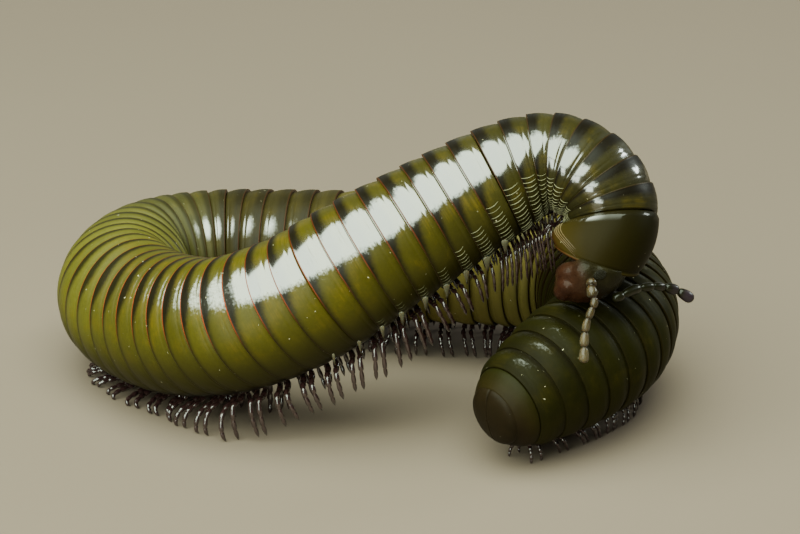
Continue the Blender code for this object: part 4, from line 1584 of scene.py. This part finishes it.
@dataclass
class Studio:
    """Pale floor, soft light and the camera at the photo's viewing angle."""

    floor_colour: Point = (0.182, 0.138, 0.108)
    camera_place: Point = (3.13, -269.23, 115.93)
    tilt: float = 21.0
    lens: float = 135.0
    world: float = 0.06
    world_colour: Point = (1.0, 0.97, 0.90)
    floor_reach: float = 3.0
    lamps: tuple[Lamp, ...] = (
        Lamp("softbox", (-0.085, -0.130, 0.340), (0.50, 0.58), 8.6, (0.85, 1.0, 0.79)),
        Lamp("back light", (0.34, 0.17, 0.165), (0.12, 0.09), 0.7, (0.90, 1.0, 0.92)),
        Lamp("rear strip", (0.05, 0.45, 0.13), (0.60, 0.22), 0.15, (0.90, 1.0, 0.90)),
        Lamp("front panel", (-0.15, -0.42, 0.105), (0.16, 0.19), 0.9, (0.88, 1.0, 0.84),
             (0.012, -0.008, 0.02)),
    )

    def build(self) -> None:
        """Floor, lights, world and camera."""
        self._floor()
        for lamp in self.lamps:
            lamp.build()
        world = bpy.data.worlds.new("surround")
        world.use_nodes = True
        background = world.node_tree.nodes["Background"]
        background.inputs["Color"].default_value = (*self.world_colour, 1.0)
        background.inputs["Strength"].default_value = self.world
        bpy.context.scene.world = world
        data = bpy.data.cameras.new("camera")
        data.lens = self.lens
        data.sensor_width = 36.0
        data.clip_start = 0.01
        data.clip_end = 20.0
        camera = bpy.data.objects.new("camera", data)
        camera.location = Vector(self.camera_place) * MM
        tilt = math.radians(self.tilt)
        look = Vector((0.0, math.cos(tilt), -math.sin(tilt)))
        camera.rotation_euler = look.to_track_quat("-Z", "Y").to_euler()
        bpy.context.scene.collection.objects.link(camera)
        bpy.context.scene.camera = camera

    def _floor(self) -> None:
        """A wide plain floor with a faint grain."""
        bm = bmesh.new()
        bmesh.ops.create_grid(bm, x_segments=4, y_segments=4, size=self.floor_reach)
        mesh = bpy.data.meshes.new("floor")
        bm.to_mesh(mesh)
        bm.free()
        material, g, shader = Finish("floor plaster", specular=0.2).start()
        cloud = g.noise(g.place(), 14.0, 4.0, 0.5)
        shade = g.mix(cloud, tuple(0.94 * c for c in self.floor_colour), self.floor_colour)
        g.feed(shader.inputs["Base Color"], shade)
        shader.inputs["Roughness"].default_value = 0.75
        mesh.materials.append(material)
        floor = bpy.data.objects.new("floor", mesh)
        bpy.context.scene.collection.objects.link(floor)


RING_FINISH = RingFinish("olive ring shell")
TAIL_RING_FINISH = RingFinish("dark ring shell", specular=0.05)
# The pale end of the ridges' colour is partly a painted highlight where they catch the light
RIDGE_FINISH = GradedFinish("pale flank ridge", hues=((0.2, (0.05, 0.048, 0.014)), (1.0, (0.20, 0.19, 0.11))),
                            specular=0.1, roughness=0.34, gloss=0.05, fleck_amount=0.0)
LEG_FINISH = GradedFinish("glossy purplish leg",
                          hues=((0.0, (0.060, 0.036, 0.026)), (0.4, (0.028, 0.012, 0.011)),
                                (0.8, (0.022, 0.009, 0.010)), (1.0, (0.014, 0.006, 0.007))),
                          specular=0.1, roughness=0.30, gloss=0.95, coat_ior=1.8, coat_roughness=0.11,
                          fleck_amount=0.0)
FLAP_FINISH = GradedFinish("pale belly flap", hues=((0.0, (0.035, 0.028, 0.016)), (1.0, (0.10, 0.09, 0.055))),
                           roughness=0.36, gloss=0.05, subsurface=0.3, fleck_amount=0.0)
COLLUM_FINISH = GradedFinish("dark collum shell",
                             hues=((0.0, (0.040, 0.015, 0.004)), (0.25, (0.030, 0.021, 0.004)),
                                   (0.55, (0.014, 0.010, 0.002)), (1.0, (0.006, 0.005, 0.001))),
                             specular=0.035, roughness=0.45, driven_gloss=True, fleck_amount=0.4,
                             fleck_scale=1300.0, fleck_size=0.07)
FOLD_FINISH = GradedFinish("pale collum fold", hues=((0.0, (0.16, 0.12, 0.06)), (1.0, (0.06, 0.026, 0.010))),
                           roughness=0.30, gloss=0.1, fleck_amount=0.0)
HEAD_FINISH = GradedFinish("reddish head shell",
                           hues=((0.0, (0.026, 0.009, 0.005)), (0.22, (0.026, 0.010, 0.005)),
                                 (0.40, (0.020, 0.010, 0.005)), (0.52, (0.013, 0.010, 0.004)),
                                 (1.0, (0.010, 0.009, 0.003))),
                           specular=0.05, roughness=0.34, gloss=0.02, mottle=1.7, mottle_scale=900.0,
                           bump=0.00030, fleck_amount=0.2, fleck_scale=1300.0)
EYE_FINISH = GradedFinish("black eye lens", hues=((0.0, (0.012, 0.010, 0.005)), (1.0, (0.008, 0.007, 0.004))),
                          specular=0.08, roughness=0.35, gloss=0.0, fleck_amount=0.0)
PALE_FEELER_FINISH = GradedFinish("pale feeler skin",
                                  hues=((0.2, (0.018, 0.010, 0.005)), (0.7, (0.045, 0.031, 0.015)),
                                        (1.0, (0.088, 0.066, 0.036))),
                                  specular=0.18, roughness=0.30, gloss=0.18, coat_ior=1.65,
                                  coat_roughness=0.16, subsurface=0.35, mottle=1.0,
                                  mottle_scale=1500.0, bump=0.00004, fleck_amount=0.0)
DUSKY_FEELER_FINISH = GradedFinish("dusky feeler skin",
                                   hues=((0.0, (0.008, 0.008, 0.002)), (0.75, (0.007, 0.006, 0.002)),
                                         (1.0, (0.026, 0.016, 0.024))),
                                   specular=0.12, roughness=0.34, gloss=0.12, coat_ior=2.0, fleck_amount=0.0)
TAIL_FINISH = GradedFinish("dark tail shell",
                           hues=((0.0, (0.004, 0.003, 0.001)), (0.35, (0.013, 0.008, 0.003)),
                                 (0.62, (0.014, 0.010, 0.002)), (1.0, (0.010, 0.010, 0.001))),
                           specular=0.07, roughness=0.50, gloss=0.0, fleck_amount=0.3, fleck_scale=1300.0,
                           fleck_size=0.07)

RIGHT_FEELER: tuple[Point, ...] = (
    (17.2, -19.1, 17.95), (17.2, -19.5, 17.95), (17.2, -20.3, 17.45), (17.42, -20.8, 16.6),
    (17.1, -21.1, 15.8), (16.75, -21.4, 14.85), (16.55, -21.8, 13.55), (16.5, -22.4, 12.0),
    (16.5, -22.6, 11.45))
RIGHT_BEADS = ((0.9, 0.50), (1.25, 0.52), (1.05, 0.38), (1.2, 0.36), (1.4, 0.37), (1.5, 0.43), (1.6, 0.46))
LEFT_FEELER: tuple[Point, ...] = (
    (19.3, -17.7, 15.75), (19.8, -17.4, 15.75), (21.35, -15.8, 15.85), (22.95, -14.4, 15.6),
    (24.25, -13.3, 15.15), (25.6, -12.6, 14.5), (26.7, -12.3, 13.75), (27.1, -12.2, 13.4))
LEFT_BEADS = ((1.0, 0.45), (2.1, 0.46), (1.4, 0.42), (1.3, 0.40), (1.35, 0.52), (1.5, 0.54))
NECK_RINGS = 8
TRUNK_LENGTHS = 8
DARK_LENGTHS = ("trunk_7", "trunk_8")


def trunk_lengths(body: Body) -> list[tuple[str, int, int]]:
    """The lengths of the trunk, as the solids are divided.

    Args:
        body: the body with its ring margins.

    Returns:
        Name, first ring and ring after the last of each.
    """
    last = len(body.margins) - 1
    found = [("neck", 0, NECK_RINGS)]
    for number in range(TRUNK_LENGTHS):
        begin = NECK_RINGS + round((last - NECK_RINGS) * number / TRUNK_LENGTHS)
        end = NECK_RINGS + round((last - NECK_RINGS) * (number + 1) / TRUNK_LENGTHS)
        found.append((f"trunk_{number + 1}", begin, end))
    return found


def main() -> None:
    """Builds the animal from head to tail, then the studio."""
    logging.basicConfig(level=logging.INFO, format="%(name)s: %(message)s")
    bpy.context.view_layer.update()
    scratch_group()
    fleck_group()
    body = Body()
    collum = Collum(body, COLLUM_FINISH.material(), FOLD_FINISH.material())
    collum.build()
    head = HeadShape(HEAD_FINISH.material())
    head.build(collum)
    Eyes(head, EYE_FINISH.material()).build()
    Feeler("antenna_right", RIGHT_FEELER, PALE_FEELER_FINISH.material(), Slot.PALE_FEELER,
           RIGHT_BEADS).build()
    Feeler("antenna_left", LEFT_FEELER, DUSKY_FEELER_FINISH.material(), Slot.DUSKY_FEELER,
           LEFT_BEADS).build()
    shells = RingShells(body, RING_FINISH.material())
    tail_shells = RingShells(body, TAIL_RING_FINISH.material())
    legs = Legs(body, LEG_FINISH.material())
    for name, first, last in trunk_lengths(body):
        (tail_shells if name in DARK_LENGTHS else shells).build(name, first, last)
        legs.build(name, first, last)
    FlankRidges(shells, RIDGE_FINISH.material()).build()
    BellyFlaps(body, FLAP_FINISH.material()).build()
    TailEnd(body, TAIL_FINISH.material()).build()
    Studio().build()


if __name__ == "__main__":
    main()
